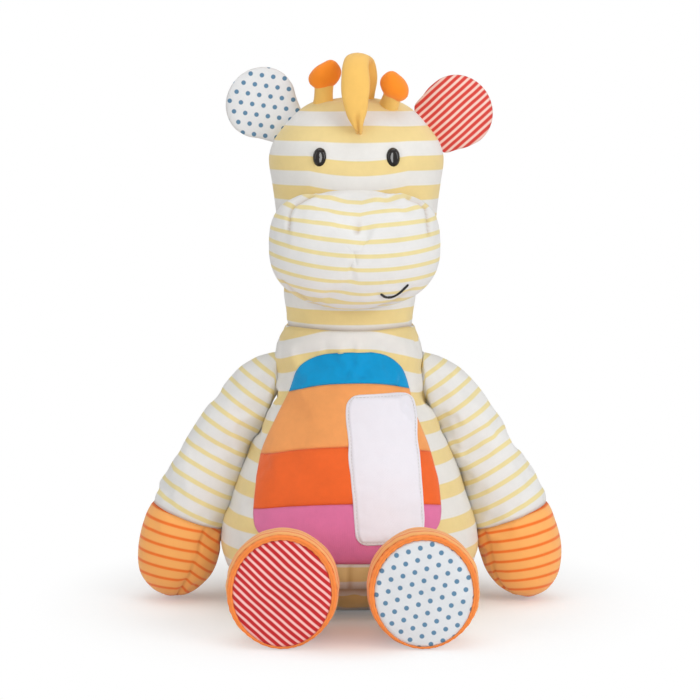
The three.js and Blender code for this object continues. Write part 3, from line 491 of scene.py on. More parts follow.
@dataclass(frozen=True)
class EyePlastic:
    """Glossy black plastic of the eyes, with faint hairline wear."""

    name: str = "eye plastic"
    ground: Colour = (20, 15, 12)
    worn: Colour = (30, 24, 20)
    least_rough: float = 0.01
    wear_rough: float = 0.04
    shine: float = 0.34

    def make(self) -> bpy.types.Material:
        """Makes the material.

        Returns:
            The new material.
        """
        made, w, shader = start_look(self.name)
        smear = w.noise(w.place(), 320.0, 3.0)
        tint = w.mix(w.math("MULTIPLY", smear, 0.5), linear(self.ground), linear(self.worn))
        rough = w.scaled(smear, self.wear_rough, self.least_rough)
        w.feed(shader, {"Roughness": rough, "Base Color": tint, "Specular IOR Level": self.shine})
        return made


@dataclass(frozen=True)
class SewingThread:
    """Twisted sewing thread."""

    name: str
    ground: Colour
    twist: float = 1400.0
    dark_share: float = 0.72
    least_rough: float = 0.5
    twist_rough: float = 0.3
    strength: float = 0.5
    depth: float = 0.0002
    sheen: float = 0.2

    def make(self) -> bpy.types.Material:
        """Makes the material.

        Returns:
            The new material.
        """
        made, w, shader = start_look(self.name)
        made.diffuse_color = linear(self.ground)
        strands = w.noise(w.place(), self.twist, 2.0)
        dark = linear(tuple(int(c * self.dark_share) for c in self.ground))
        bump = {"Height": strands, "Strength": self.strength, "Distance": self.depth}
        w.feed(
            shader,
            {
                "Base Color": w.mix(strands, dark, linear(self.ground)),
                "Roughness": w.scaled(strands, self.twist_rough, self.least_rough),
                "Normal": w.node("ShaderNodeBump", bump).outputs[0],
                "Sheen Weight": self.sheen,
            },
        )
        return made


@dataclass(frozen=True)
class Finish:
    """A material, and the slot of the part that it fills."""

    look: bpy.types.Material
    slot: str

    def fit(self, made: bpy.types.Object, body: str | None, *nodes: str, fill: float | None = None) -> bpy.types.Object:
        """Dresses a piece, hides the solids that it replaces, and sets it on its body.

        Args:
            made: The piece.
            body: The body that it rides, or None where it is left unattached.
            nodes: The solids that it replaces.
            fill: How full it is stuffed, or None where it isn't padded; not used.

        Returns:
            The piece.
        """
        made.data.materials.clear()
        made.data.materials.append(self.look)
        if nodes:
            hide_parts(*nodes)
        if body is not None:
            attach(made, body)
        return made


YELLOW = (237, 213, 149)
PAPER_WHITE = (232, 230, 226)


class Finishes:
    """Every finish of the toy, made once."""

    def __init__(self) -> None:
        """Builds the node groups, then the materials that use them."""
        for add in (add_stripes_group, add_dots_group, add_knit_group, add_weave_group, add_dye_and_seam_shade_group):
            add()
        striped = StripedJersey("striped jersey", PAPER_WHITE, stripe=YELLOW, share=0.5, softness=0.035)
        fine = StripedJersey("pale jersey", (231, 230, 228), stripe=(235, 219, 160), share=0.3, softness=0.07)
        hand = StripedJersey("orange striped jersey", (255, 182, 104), stripe=(246, 121, 45), share=0.27, softness=0.12)
        red_sole = PrintedStripes("red striped cotton", (246, 196, 192), stripe=(196, 40, 44))
        red_ear = PrintedStripes(
            "red striped ear cotton",
            (247, 208, 196),
            stripe=(216, 70, 62),
            share=0.58,
            spacing=4.15,
            turn=-42,
            wobble=1.0,
        )
        dotted_ear = PrintedDots("dotted ear cotton", (230, 231, 232), turn=-8.0, start=(-65.2, 368.8), spacing=8.2)
        white = Cloth("white cloth", (238, 236, 244), Relief.WEAVE, mottle=0.06, seam_shade_strength=0.25)
        self.striped = Finish(striped.make(), "striped_jersey")
        self.fine = Finish(fine.make(), "pale_jersey")
        self.hand = Finish(hand.make(), "light_orange_jersey")
        self.ring = Finish(Cloth("orange jersey ring", (250, 144, 72)).make(), "light_orange_jersey")
        self.bright = Finish(Cloth("bright orange jersey", (255, 145, 40)).make(), "bright_orange_jersey")
        self.golden = Finish(Cloth("golden jersey", (244, 195, 105)).make(), "golden_jersey")
        self.white = Finish(white.make(), "white_cloth")
        self.red_sole = Finish(red_sole.make(), "red_striped_cotton")
        self.red_ear = Finish(red_ear.make(), "red_striped_cotton")
        self.dotted_sole = Finish(PrintedDots("dotted cotton", (222, 225, 228)).make(), "dotted_cotton")
        self.dotted_ear = Finish(dotted_ear.make(), "dotted_cotton")
        self.eye = Finish(EyePlastic().make(), "eye_plastic")
        self.smile = Finish(SewingThread("black thread", (26, 22, 20)).make(), "black_thread")
        self.stitch = Finish(SewingThread("white thread", (243, 238, 240)).make(), "white_cloth")
        dyes = (
            ("pink", (224, 120, 166), 0.2),
            ("orange", (242, 106, 46), 0.2),
            ("peach", (246, 165, 98), 0.2),
            ("blue", (8, 155, 214), 0.25),
        )
        self.bands = {
            word: Finish(Cloth(f"{word} jersey", dye, mottle=mottle).make(), f"{word}_jersey")
            for word, dye, mottle in dyes
        }


@dataclass(frozen=True)
class Lamp:
    """One soft lamp that looks at the toy, with its place, width and height. At level 1 its face is white."""

    name: str
    place: tuple[float, float, float]
    size: tuple[float, float]
    level: float


@dataclass
class Studio:
    """White floor and backdrop, soft lamps, and the camera at the photograph's height and distance."""

    aim: float = 184.0
    distance: float = 1700.0
    elevation: float = 6.5
    focal_share: float = 2333 / 700
    sensor: float = 36.0
    room_light: float = 0.34
    floor_reach: float = 6000.0
    floor_drop: float = 0.2
    floor_glow: float = 0.1
    floor_white: tuple[float, float, float, float] = (0.95, 0.95, 0.95, 1.0)
    floor_painted_shade: tuple[float, float, float, float] = (0.7, 0.42, 0.3, 1.0)
    painted_shade_place: tuple[float, float, float] = (0.0, -128.0, 0.0)
    painted_shade_reach: tuple[float, float] = (15.6, 78.0)
    shadow_reach: tuple[float, float] = (82.0, 245.0)
    lamps: tuple[Lamp, ...] = (
        Lamp("front_lamp", (0, -2100, 420), (150, 720), 11.0),
        Lamp("left_lamp", (-1400, -1400, 850), (1100, 1300), 1.7),
        Lamp("right_lamp", (1400, -1400, 850), (1100, 1300), 3.8),
        Lamp("top_lamp", (0, -100, 2000), (1600, 1600), 1.6),
    )

    @staticmethod
    def fade(w: Wiring, distance: Socket, reach: tuple[float, float]) -> Socket:
        """A smooth rise from 0 to 1 between two distances in millimetres."""
        ends = {"Value": distance, "From Min": reach[0] * MM, "From Max": reach[1] * MM}
        return w.node("ShaderNodeMapRange", ends, interpolation_type="SMOOTHSTEP").outputs[0]

    def build_floor(self) -> bpy.types.Object:
        """Makes the white floor, which keeps the toy's shadow, with a painted warm shadow on it between the feet.

        Returns:
            The floor.
        """
        corners = np.array([[-1, -1, 0], [1, -1, 0], [1, 1, 0], [-1, 1, 0]]) * self.floor_reach
        floor = mesh_object("studio_floor", corners - UP * self.floor_drop, [[0, 1, 2, 3]])
        look, w, shader = start_look("white floor")
        seen = w.seen()
        # painted shadow: the floor's colour turns a warm brown round a spot between the feet
        painted_shade = self.fade(w, w.length(w.place(), tuple(np.array(self.painted_shade_place) * MM)), self.painted_shade_reach)
        base = w.mix(painted_shade, self.floor_painted_shade, self.floor_white)
        w.feed(shader, {"Base Color": base, "Roughness": 0.9, "Specular IOR Level": 0.1})
        glow = w.node("ShaderNodeEmission", {"Color": WHITE, "Strength": w.math("MULTIPLY", seen, self.floor_glow)})
        lit = look.node_tree.nodes["Principled BSDF"].outputs[0]
        near = w.node("ShaderNodeAddShader", {0: lit, 1: glow.outputs[0]}).outputs[0]
        white = w.node("ShaderNodeEmission", {"Color": WHITE, "Strength": 1.0}).outputs[0]
        far = w.math("MULTIPLY", self.fade(w, w.length(w.place()), self.shadow_reach), seen)
        both = w.node("ShaderNodeMixShader", {0: far, 1: near, 2: white}).outputs[0]
        w.feed(look.node_tree.nodes["Material Output"].inputs, {"Surface": both})
        floor.data.materials.append(look)
        return floor

    def build_world(self) -> None:
        """Makes the even light of the room, and a white backdrop behind it."""
        world = bpy.data.worlds.new("studio")
        bpy.context.scene.world = world
        world.use_nodes = True
        w = Wiring(world.node_tree)
        level = w.scaled(w.seen(), 1 - self.room_light, self.room_light)
        w.feed(world.node_tree.nodes["Background"].inputs, {"Color": WHITE, "Strength": level})

    def build_lamp(self, lamp: Lamp) -> None:
        """Adds one lamp."""
        light = bpy.data.lights.new(lamp.name, "AREA")
        light.shape = "RECTANGLE"
        light.size, light.size_y = lamp.size[0] * MM, lamp.size[1] * MM
        light.energy = lamp.level * math.pi * light.size * light.size_y
        holder = bpy.data.objects.new(lamp.name, light)
        holder.location = Vector(lamp.place) * MM
        towards = Vector((0, 0, self.aim * MM)) - holder.location
        holder.rotation_euler = towards.to_track_quat("-Z", "Y").to_euler()
        bpy.context.scene.collection.objects.link(holder)

    def build_camera(self) -> None:
        """Sets the camera at the photograph's viewing angle."""
        lens = bpy.data.cameras.new("camera")
        lens.sensor_width = self.sensor
        lens.lens = self.sensor * self.focal_share
        camera = bpy.data.objects.new("camera", lens)
        angle = math.radians(self.elevation)
        back, rise = self.distance * math.cos(angle), self.distance * math.sin(angle)
        camera.location = (0, -back * MM, (self.aim + rise) * MM)
        camera.rotation_euler = (math.pi / 2 - angle, 0, 0)
        bpy.context.scene.collection.objects.link(camera)
        bpy.context.scene.camera = camera

    def build(self) -> None:
        """Makes the floor, the light and the camera."""
        self.build_floor()
        self.build_world()
        for lamp in self.lamps:
            self.build_lamp(lamp)
        self.build_camera()
        bpy.context.scene.view_settings.view_transform = "Standard"


def smoothstep(value: np.ndarray, low: float, high: float) -> np.ndarray:
    """Smooth rise from 0 at low to 1 at high.

    Args:
        value: Numbers to place between low and high.
        low: Where the rise starts.
        high: Where it ends.

    Returns:
        Shares from 0 to 1.
    """
    t = np.clip((np.asarray(value, float) - low) / (high - low), 0, 1)
    return t * t * (3 - 2 * t)


def lerp(a: np.ndarray, b: np.ndarray, share: np.ndarray) -> np.ndarray:
    """Value at a share of the way from a to b."""
    return a + (b - a) * share


def bell(away: np.ndarray, width: float) -> np.ndarray:
    """A hump that is 1 at distance 0 and fades within a width."""
    return np.exp(-((away / width) ** 2))


def unit(ways: np.ndarray) -> np.ndarray:
    """Directions of length 1."""
    return ways / np.linalg.norm(ways, axis=-1, keepdims=True)


def xyz(points: np.ndarray) -> tuple[np.ndarray, np.ndarray, np.ndarray]:
    """The X, Y and Z of points."""
    return points[..., 0], points[..., 1], points[..., 2]


def even_sizes(wide: np.ndarray, deep: np.ndarray) -> np.ndarray:
    """Sizes of rings that reach as far against their depth as along it."""
    return np.column_stack([wide, deep, deep])


def crowded(count: int, share: float) -> np.ndarray:
    """Numbers from -1 to 1 that stand closer together towards both ends."""
    even = np.linspace(-1, 1, count)
    return np.sin(even * math.pi / 2) * share + even * (1 - share)


def smooth_rows(table: np.ndarray, places: np.ndarray) -> np.ndarray:
    """Values of every column of a table at places in its first column, on smooth cubic stretches.

    Args:
        table: Rows whose first number rises from row to row.
        places: Places in the first column.

    Returns:
        One row of the other columns for each place.
    """
    knots, values = table[:, 0], table[:, 1:]
    slopes = np.empty_like(values)
    slopes[1:-1] = (values[2:] - values[:-2]) / (knots[2:] - knots[:-2])[:, None]
    slopes[0] = (values[1] - values[0]) / (knots[1] - knots[0])
    slopes[-1] = (values[-1] - values[-2]) / (knots[-1] - knots[-2])
    at = np.clip(places, knots[0], knots[-1])
    row = np.clip(np.searchsorted(knots, at, side="right") - 1, 0, len(knots) - 2)
    width = knots[row + 1] - knots[row]
    t = ((at - knots[row]) / width)[:, None]
    p, q = values[row], values[row + 1]
    m, n = slopes[row] * width[:, None], slopes[row + 1] * width[:, None]
    return p + m * t + (3 * (q - p) - 2 * m - n) * t**2 + (2 * (p - q) + m + n) * t**3


def even_rows(table: np.ndarray, step: float, measured: int) -> np.ndarray:
    """A smooth run through the rows of a table, resampled at even distances.

    Args:
        table: Rows of numbers. The first few are coordinates in millimetres.
        step: Distance between the new rows.
        measured: How many of the first columns are coordinates.

    Returns:
        The new rows, with as many columns as the table.
    """
    chord = np.linalg.norm(np.diff(table[:, :measured], axis=0), axis=1)
    travelled = np.concatenate([[0], np.cumsum(np.maximum(chord, 1e-6))])
    keyed = np.column_stack([travelled, table])
    fine = smooth_rows(keyed, np.linspace(0, travelled[-1], 60 * len(table)))
    run = np.concatenate([[0], np.cumsum(np.linalg.norm(np.diff(fine[:, :measured], axis=0), axis=1))])
    count = max(int(round(run[-1] / step)), 3)
    wanted = np.linspace(0, run[-1], count + 1)
    return np.column_stack([np.interp(wanted, run, fine[:, i]) for i in range(fine.shape[1])])


def noise(points: np.ndarray, size: float, seed: int) -> np.ndarray:
    """Smooth random values from -1 to 1, the same in each run.

    Args:
        points: Places in millimetres, with X, Y and Z in the last axis.
        size: Size of the lumps in millimetres.
        seed: Number that picks another field.

    Returns:
        One value for each place.
    """
    scaled = points / size + seed * 17.31
    cell = np.floor(scaled).astype(np.int64)
    part = scaled - cell
    part = part * part * part * (part * (part * 6 - 15) + 10)
    total = np.zeros(points.shape[:-1])
    for corner in np.ndindex(2, 2, 2):
        mixed = (cell + corner) @ np.array([73856093, 19349663, 83492791]) + seed * 2654435761
        mixed = (mixed ^ (mixed >> 13)) * 1274126177 & 0x7FFFFFFF
        mixed = (mixed ^ (mixed >> 16)) & 0xFFFF
        weight = np.prod(np.where(np.array(corner) == 1, part, 1 - part), axis=-1)
        total += weight * (mixed / 32767.5 - 1)
    return total


@dataclass
class Loft:
    """Rings of points along a form, in millimetres, with values that its finish reads."""

    points: np.ndarray
    first_pole: np.ndarray
    last_pole: np.ndarray
    values: dict[str, np.ndarray] = field(default_factory=dict)

    def normals(self) -> np.ndarray:
        """Outward directions at all points.

        Returns:
            Unit vectors, one for each point.
        """
        around = np.roll(self.points, -1, axis=1) - np.roll(self.points, 1, axis=1)
        fenced = np.concatenate(
            [
                np.broadcast_to(self.first_pole, (1, *self.points.shape[1:])),
                self.points,
                np.broadcast_to(self.last_pole, (1, *self.points.shape[1:])),
            ]
        )
        along = fenced[2:] - fenced[:-2]
        out = np.cross(around, along)
        out /= np.maximum(np.linalg.norm(out, axis=-1, keepdims=True), 1e-9)
        middle = self.points.mean(axis=1, keepdims=True)
        if np.mean(np.sum(out * (self.points - middle), axis=-1)) < 0:
            out = -out
        return out

    def push(self, distance: np.ndarray) -> None:
        """Moves every point outwards by its own distance."""
        self.points = self.points + self.normals() * distance[..., None]

    def walked(self) -> np.ndarray:
        """Distance of each point along its meridian from the first ring."""
        steps = np.linalg.norm(np.diff(self.points, axis=0), axis=-1)
        return np.concatenate([np.zeros((1, self.points.shape[1])), np.cumsum(steps, axis=0)])

    def mesh(self, name: str) -> bpy.types.Object:
        """Makes the closed mesh, with its cloth map and its values.

        Args:
            name: Name of the piece.

        Returns:
            The new object, with its mesh in place and its origin at zero.
        """
        rows, sides = self.points.shape[:2]
        places = np.concatenate([self.points.reshape(-1, 3), [self.first_pole, self.last_pole]])
        first, last = rows * sides, rows * sides + 1
        row, side = np.meshgrid(np.arange(rows - 1), np.arange(sides), indexing="ij")
        after = (side + 1) % sides
        quads = np.stack(
            [row * sides + side, row * sides + after, (row + 1) * sides + after, (row + 1) * sides + side],
            axis=-1,
        ).reshape(-1, 4)
        ring = np.arange(sides)
        ahead = (ring + 1) % sides
        top = (rows - 1) * sides
        fans = np.concatenate(
            [
                np.column_stack([np.full(sides, first), ahead, ring]),
                np.column_stack([np.full(sides, last), top + ring, top + ahead]),
            ]
        )
        around = np.linalg.norm(np.roll(self.points, -1, axis=1) - self.points, axis=-1).sum(axis=1).max()
        walked = self.walked()
        turns = (
            np.stack([side, side + 1, side + 1, side], axis=-1),
            np.column_stack([ring + 0.5, ring + 1, ring]),
            np.column_stack([ring + 0.5, ring, ring + 1]),
        )
        u = np.concatenate([turn.ravel() for turn in turns]) / sides * around
        reach = np.concatenate([walked.ravel(), [walked[0].min() - FACE_STEP, walked[-1].max() + FACE_STEP]])
        v = reach[np.concatenate([quads.ravel(), fans.ravel()])]
        if signed_volume(places, quads, fans) < 0:
            raise ValueError(f"{name} is inside out")
        made = mesh_object(name, places, [*quads.tolist(), *fans.tolist()])
        map_cloth(made, np.column_stack([u, v]))
        for key, grid in self.values.items():
            poles = [grid[0].mean(), grid[-1].mean()]
            put_values(made, key, np.concatenate([grid.ravel(), poles]))
        return made


def signed_volume(places: np.ndarray, quads: np.ndarray, fans: np.ndarray) -> float:
    """Volume inside a closed mesh, which is negative where its faces point inwards.

    Args:
        places: Points of the mesh.
        quads: Faces with four corners.
        fans: Faces with three corners.

    Returns:
        The volume in the points' units.
    """
    triangles = np.concatenate([quads[:, [0, 1, 2]], quads[:, [0, 2, 3]], fans])
    a, b, c = (places[triangles[:, i]] for i in range(3))
    return float(np.sum(np.cross(a, b) * c) / 6)


def mesh_object(name: str, places: np.ndarray, faces: list[list[int]]) -> bpy.types.Object:
    """Makes a smooth mesh object in the scene.

    Args:
        name: Name of the piece.
        places: Points in millimetres.
        faces: Corners of each face.

    Returns:
        The new object.
    """
    mesh = bpy.data.meshes.new(name)
    mesh.from_pydata((places * MM).tolist(), [], faces)
    mesh.polygons.foreach_set("use_smooth", [True] * len(mesh.polygons))
    mesh.update()
    made = bpy.data.objects.new(name, mesh)
    bpy.context.scene.collection.objects.link(made)
    return made


def map_cloth(made: bpy.types.Object, spots: np.ndarray) -> None:
    """Stores the spot on the cloth, in millimetres, of each corner of each face."""
    layer = made.data.uv_layers.new(name="cloth")
    layer.data.foreach_set("uv", (spots * MM).astype(np.float32).ravel())


def put_values(made: bpy.types.Object, key: str, values: np.ndarray) -> None:
    """Stores one number for each point of a mesh."""
    attribute = made.data.attributes.new(key, "FLOAT", "POINT")
    attribute.data.foreach_set("value", np.asarray(values, np.float32))


def ring_loft(
    centres: np.ndarray,
    across: np.ndarray,
    deep: np.ndarray,
    sizes: np.ndarray,
    squareness: float = 2.0,
    step: float = FACE_STEP,
    far_squareness: float | None = None,
) -> np.ndarray:
    """Points of ovals set along a form.

    Args:
        centres: Middle of each ring.
        across: Direction of each ring's width, or one for all.
        deep: Direction of each ring's depth, or one for all.
        sizes: Half width, reach against deep and reach along deep of each ring.
        squareness: 2 for an oval, and more for squarer rings.
        step: Distance between points round the widest ring.
        far_squareness: Squareness of the half that lies along deep, where it differs.

    Returns:
        Points with rings in the first axis and sides in the second.
    """
    widest = sizes[:, 0].max() + sizes[:, 1:].max()
    sides = 2 * int(round(math.pi * widest / step / 2))
    angle = np.arange(sides) / sides * 2 * math.pi
    power = 2 / np.where(np.sin(angle) > 0, far_squareness or squareness, squareness)
    reach_x = np.sign(np.cos(angle)) * np.abs(np.cos(angle)) ** power
    reach_y = np.sign(np.sin(angle)) * np.abs(np.sin(angle)) ** power
    x = sizes[:, :1] * reach_x
    y = np.where(reach_y < 0, sizes[:, 1:2], sizes[:, 2:3]) * reach_y
    across = np.broadcast_to(across, centres.shape)
    deep = np.broadcast_to(deep, centres.shape)
    return centres[:, None] + across[:, None] * x[..., None] + deep[:, None] * y[..., None]


def tucked_base(sizes: np.ndarray, level: float, shares: tuple[float, ...]) -> np.ndarray:
    """Rows that close a form with a flat face, from its middle outwards.

    Args:
        sizes: Half width, front and back of the edge of the flat face.
        level: Height of the flat face.
        shares: Sizes of the rows as shares of the edge.

    Returns:
        Rows of height, half width, front and back.
    """
    return np.array([[level, *(np.array(sizes) * share)] for share in shares])


def line_distance(across: np.ndarray, up: np.ndarray, path: Table) -> np.ndarray:
    """Distance of spots from a drawn line.

    Args:
        across: First coordinate of the spots.
        up: Second coordinate of the spots.
        path: Corners of the line.

    Returns:
        One distance for each spot.
    """
    nearest = np.full(across.shape, np.inf)
    for (x0, z0), (x1, z1) in zip(path, path[1:]):
        dx, dz = x1 - x0, z1 - z0
        share = np.clip(((across - x0) * dx + (up - z0) * dz) / (dx * dx + dz * dz), 0, 1)
        nearest = np.minimum(nearest, np.hypot(across - x0 - share * dx, up - z0 - share * dz))
    return nearest


@dataclass(frozen=True)
class Lumps:
    """Smooth random heights of stuffed cloth, with their height and size in millimetres."""

    height: float
    size: float
    seed: int
    squeeze: tuple[float, float, float] = (1.0, 1.0, 1.0)

    def at(self, points: np.ndarray) -> np.ndarray:
        """Heights at places in millimetres."""
        return self.height * noise(points * self.squeeze, self.size, self.seed)


@dataclass(frozen=True)
class Gathers(Lumps):
    """Small folds that run out from a seam, and fade within their reach."""

    reach: float = 8.0
    start: float = 1.2

    def beside(self, away: np.ndarray, points: np.ndarray) -> np.ndarray:
        """Heights at places that lie some distance away from the seam."""
        away = np.abs(away)
        return self.at(points) * np.exp(-away / self.reach) * (1 - np.exp(-away / self.start))


def cast_front(tree: BVHTree, x: np.ndarray, z: np.ndarray) -> np.ndarray:
    """Places on the front of a finished piece, straight behind spots in X and Z.

    Args:
        tree: The piece's faces.
        x: Distances across, in millimetres.
        z: Heights, in millimetres.

    Returns:
        Points in millimetres.
    """
    found = []
    for across, up in zip(x.ravel(), z.ravel()):
        place, *_ = tree.ray_cast(Vector((across * MM, -0.3, up * MM)), Vector((0, 1, 0)))
        found.append(place.y / MM if place else 0.0)
    return np.stack([x, np.array(found).reshape(x.shape), z], axis=-1)


@dataclass(frozen=True)
class Stuffing:
    """Fibre that presses a cover outwards, settled as cloth under pressure while the seams stay put."""

    pressure: float = 4.0
    slack: float = 0.03
    frames: int = 20
    every: int = 3
    cap: float = 2.5

    def settle(self, loft: Loft, held: np.ndarray) -> None:
        """Runs the cloth on a thinned copy of the form and carries its folds over to the form.

        Args:
            loft: The form.
            held: Which of its points the seams hold.
        """
        rows, sides = loft.points.shape[:2]
        row_at = np.unique(np.append(np.arange(0, rows - 1, self.every), rows - 1))
        side_at = np.linspace(0, sides, sides // self.every, endpoint=False).astype(int)
        coarse = Loft(loft.points[np.ix_(row_at, side_at)], loft.first_pole, loft.last_pole)
        pinned = np.flatnonzero(held[np.ix_(row_at, side_at)]).tolist()
        trial = coarse.mesh("cloth_trial")
        count = len(row_at) * len(side_at)
        trial.vertex_groups.new(name="held").add([*pinned, count, count + 1], 1.0, "REPLACE")
        self.add_cloth(trial)
        scene = bpy.context.scene
        for frame in range(1, self.frames + 1):
            scene.frame_set(frame)
        graph = bpy.context.evaluated_depsgraph_get()
        settled = bpy.data.meshes.new_from_object(trial.evaluated_get(graph), depsgraph=graph)
        places = np.empty(3 * len(settled.vertices), np.float32)
        settled.vertices.foreach_get("co", places)
        moved = places.reshape(-1, 3)[:count].reshape(coarse.points.shape) / MM - coarse.points
        length = np.linalg.norm(moved, axis=-1, keepdims=True)
        moved *= self.cap * np.tanh(length / self.cap) / np.maximum(length, 1e-6)
        scene.frame_set(1)
        bpy.data.objects.remove(trial)
        bpy.data.meshes.remove(settled)
        loft.points = loft.points + self.spread(moved, row_at, side_at, rows, sides)

    def add_cloth(self, trial: bpy.types.Object) -> None:
        """Gives the thinned copy its cloth, without gravity."""
        cloth = trial.modifiers.new("cloth", "CLOTH")
        cloth.point_cache.frame_start, cloth.point_cache.frame_end = 1, self.frames
        cloth.collision_settings.use_collision = False
        settings = cloth.settings
        settings.quality = 5
        settings.use_pressure = True
        settings.uniform_pressure_force = self.pressure
        settings.effector_weights.gravity = 0
        settings.vertex_group_mass = "held"
        settings.shrink_min = -self.slack

    @staticmethod
    def spread(moved: np.ndarray, row_at: np.ndarray, side_at: np.ndarray, rows: int, sides: int) -> np.ndarray:
        """Carries moves from the thinned copy to all points of the form.

        Args:
            moved: Moves of the copy's points.
            row_at: Rows that the copy kept.
            side_at: Sides that the copy kept.
            rows: Rows of the form.
            sides: Sides of the form.

        Returns:
            One move for each point of the form.
        """
        places = np.concatenate([side_at[-2:] - sides, side_at, side_at[:2] + sides])
        wide = np.concatenate([moved[:, -2:], moved, moved[:, :2]], axis=1)
        tall = smooth_rows(np.column_stack([row_at, wide.reshape(len(row_at), -1)]), np.arange(rows))
        turned = tall.reshape(rows, len(places), 3).transpose(1, 0, 2).reshape(len(places), -1)
        full = smooth_rows(np.column_stack([places, turned]), np.arange(sides))
        return full.reshape(sides, rows, 3).transpose(1, 0, 2)


@dataclass(frozen=True)
class Stitching:
    """Runs of stitches along paths, made by a node tree and kept as one plain mesh."""

    name: str
    spacing: float = 2.9
    length: float = 2.3
    thickness: float = 0.55
    uneven: float = 0.08
    seed: int = 7

    def grow_tree(self) -> bpy.types.NodeTree:
        """Builds the tree that sets one small thread loop at each step of a path.

        Returns:
            The tree.
        """
        tree = bpy.data.node_groups.new("stitch run", "GeometryNodeTree")
        kinds = ("Geometry", "Float", "Float", "Float", "Float", "Int", "Material")
        words = ("Path", "Spacing", "Length", "Thickness", "Unevenness", "Seed", "Thread")
        for word, kind in zip(words, kinds):
            tree.interface.new_socket(word, in_out="INPUT", socket_type=f"NodeSocket{kind}")
        tree.interface.new_socket("Stitches", in_out="OUTPUT", socket_type="NodeSocketGeometry")
        w = Wiring(tree)
        given = w.node("NodeGroupInput").outputs
        path = w.node("GeometryNodeMeshToCurve", {0: given["Path"]}).outputs[0]
        steps = w.node("GeometryNodeCurveToPoints", {"Curve": path, "Length": given["Spacing"]}, mode="LENGTH").outputs
        turn = w.node("FunctionNodeAlignRotationToVector", {"Vector": steps["Tangent"]}, axis="Z").outputs[0]
        ends = {2: w.math("SUBTRACT", 1.0, given["Unevenness"]), 3: w.math("ADD", 1.0, given["Unevenness"])}
        vary = w.node("FunctionNodeRandomValue", {**ends, "Seed": given["Seed"]}, data_type="FLOAT").outputs[1]
        thick, long = (
            w.math("MULTIPLY", w.math("MULTIPLY", given[word], 0.5), vary) for word in ("Thickness", "Length")
        )
        size = w.joined(thick, thick, long)
        loop = w.node("GeometryNodeMeshUVSphere", {"Segments": 6, "Rings": 5, "Radius": 1.0}).outputs[0]
        inputs = {"Points": steps["Points"], "Instance": loop, "Rotation": turn, "Scale": size}
        placed = w.node("GeometryNodeInstanceOnPoints", inputs).outputs[0]
        real = w.node("GeometryNodeRealizeInstances", {0: placed}).outputs[0]
        smooth = w.node("GeometryNodeSetShadeSmooth", {"Geometry": real}).outputs[0]
        dressed = w.node("GeometryNodeSetMaterial", {"Geometry": smooth, "Material": given["Thread"]}).outputs[0]
        w.node("NodeGroupOutput", {0: dressed})
        return tree

    def sew(self, paths: list[np.ndarray], thread: bpy.types.Material) -> bpy.types.Object:
        """Makes the stitches along all the paths of one body.

        Args:
            paths: Rows of points in millimetres. A closed path repeats its first point.
            thread: The thread's material.

        Returns:
            The stitches.
        """
        tree = bpy.data.node_groups.get("stitch run") or self.grow_tree()
        edges, start = [], 0
        for path in paths:
            edges += [(start + i, start + i + 1) for i in range(len(path) - 1)]
            start += len(path)
        mesh = bpy.data.meshes.new(self.name)
        mesh.from_pydata((np.concatenate(paths) * MM).tolist(), edges, [])
        made = bpy.data.objects.new(self.name, mesh)
        bpy.context.scene.collection.objects.link(made)
        run = made.modifiers.new("stitches", "NODES")
        run.node_group = tree
        values = {
            "Spacing": self.spacing * MM,
            "Length": self.length * MM,
            "Thickness": self.thickness * MM,
            "Unevenness": self.uneven,
            "Seed": self.seed,
            "Thread": thread,
        }
        for item in tree.interface.items_tree:
            if item.name in values:
                run[item.identifier] = values[item.name]
        graph = bpy.context.evaluated_depsgraph_get()
        plain = bpy.data.meshes.new_from_object(made.evaluated_get(graph), depsgraph=graph)
        made.modifiers.clear()
        made.data = plain
        return made


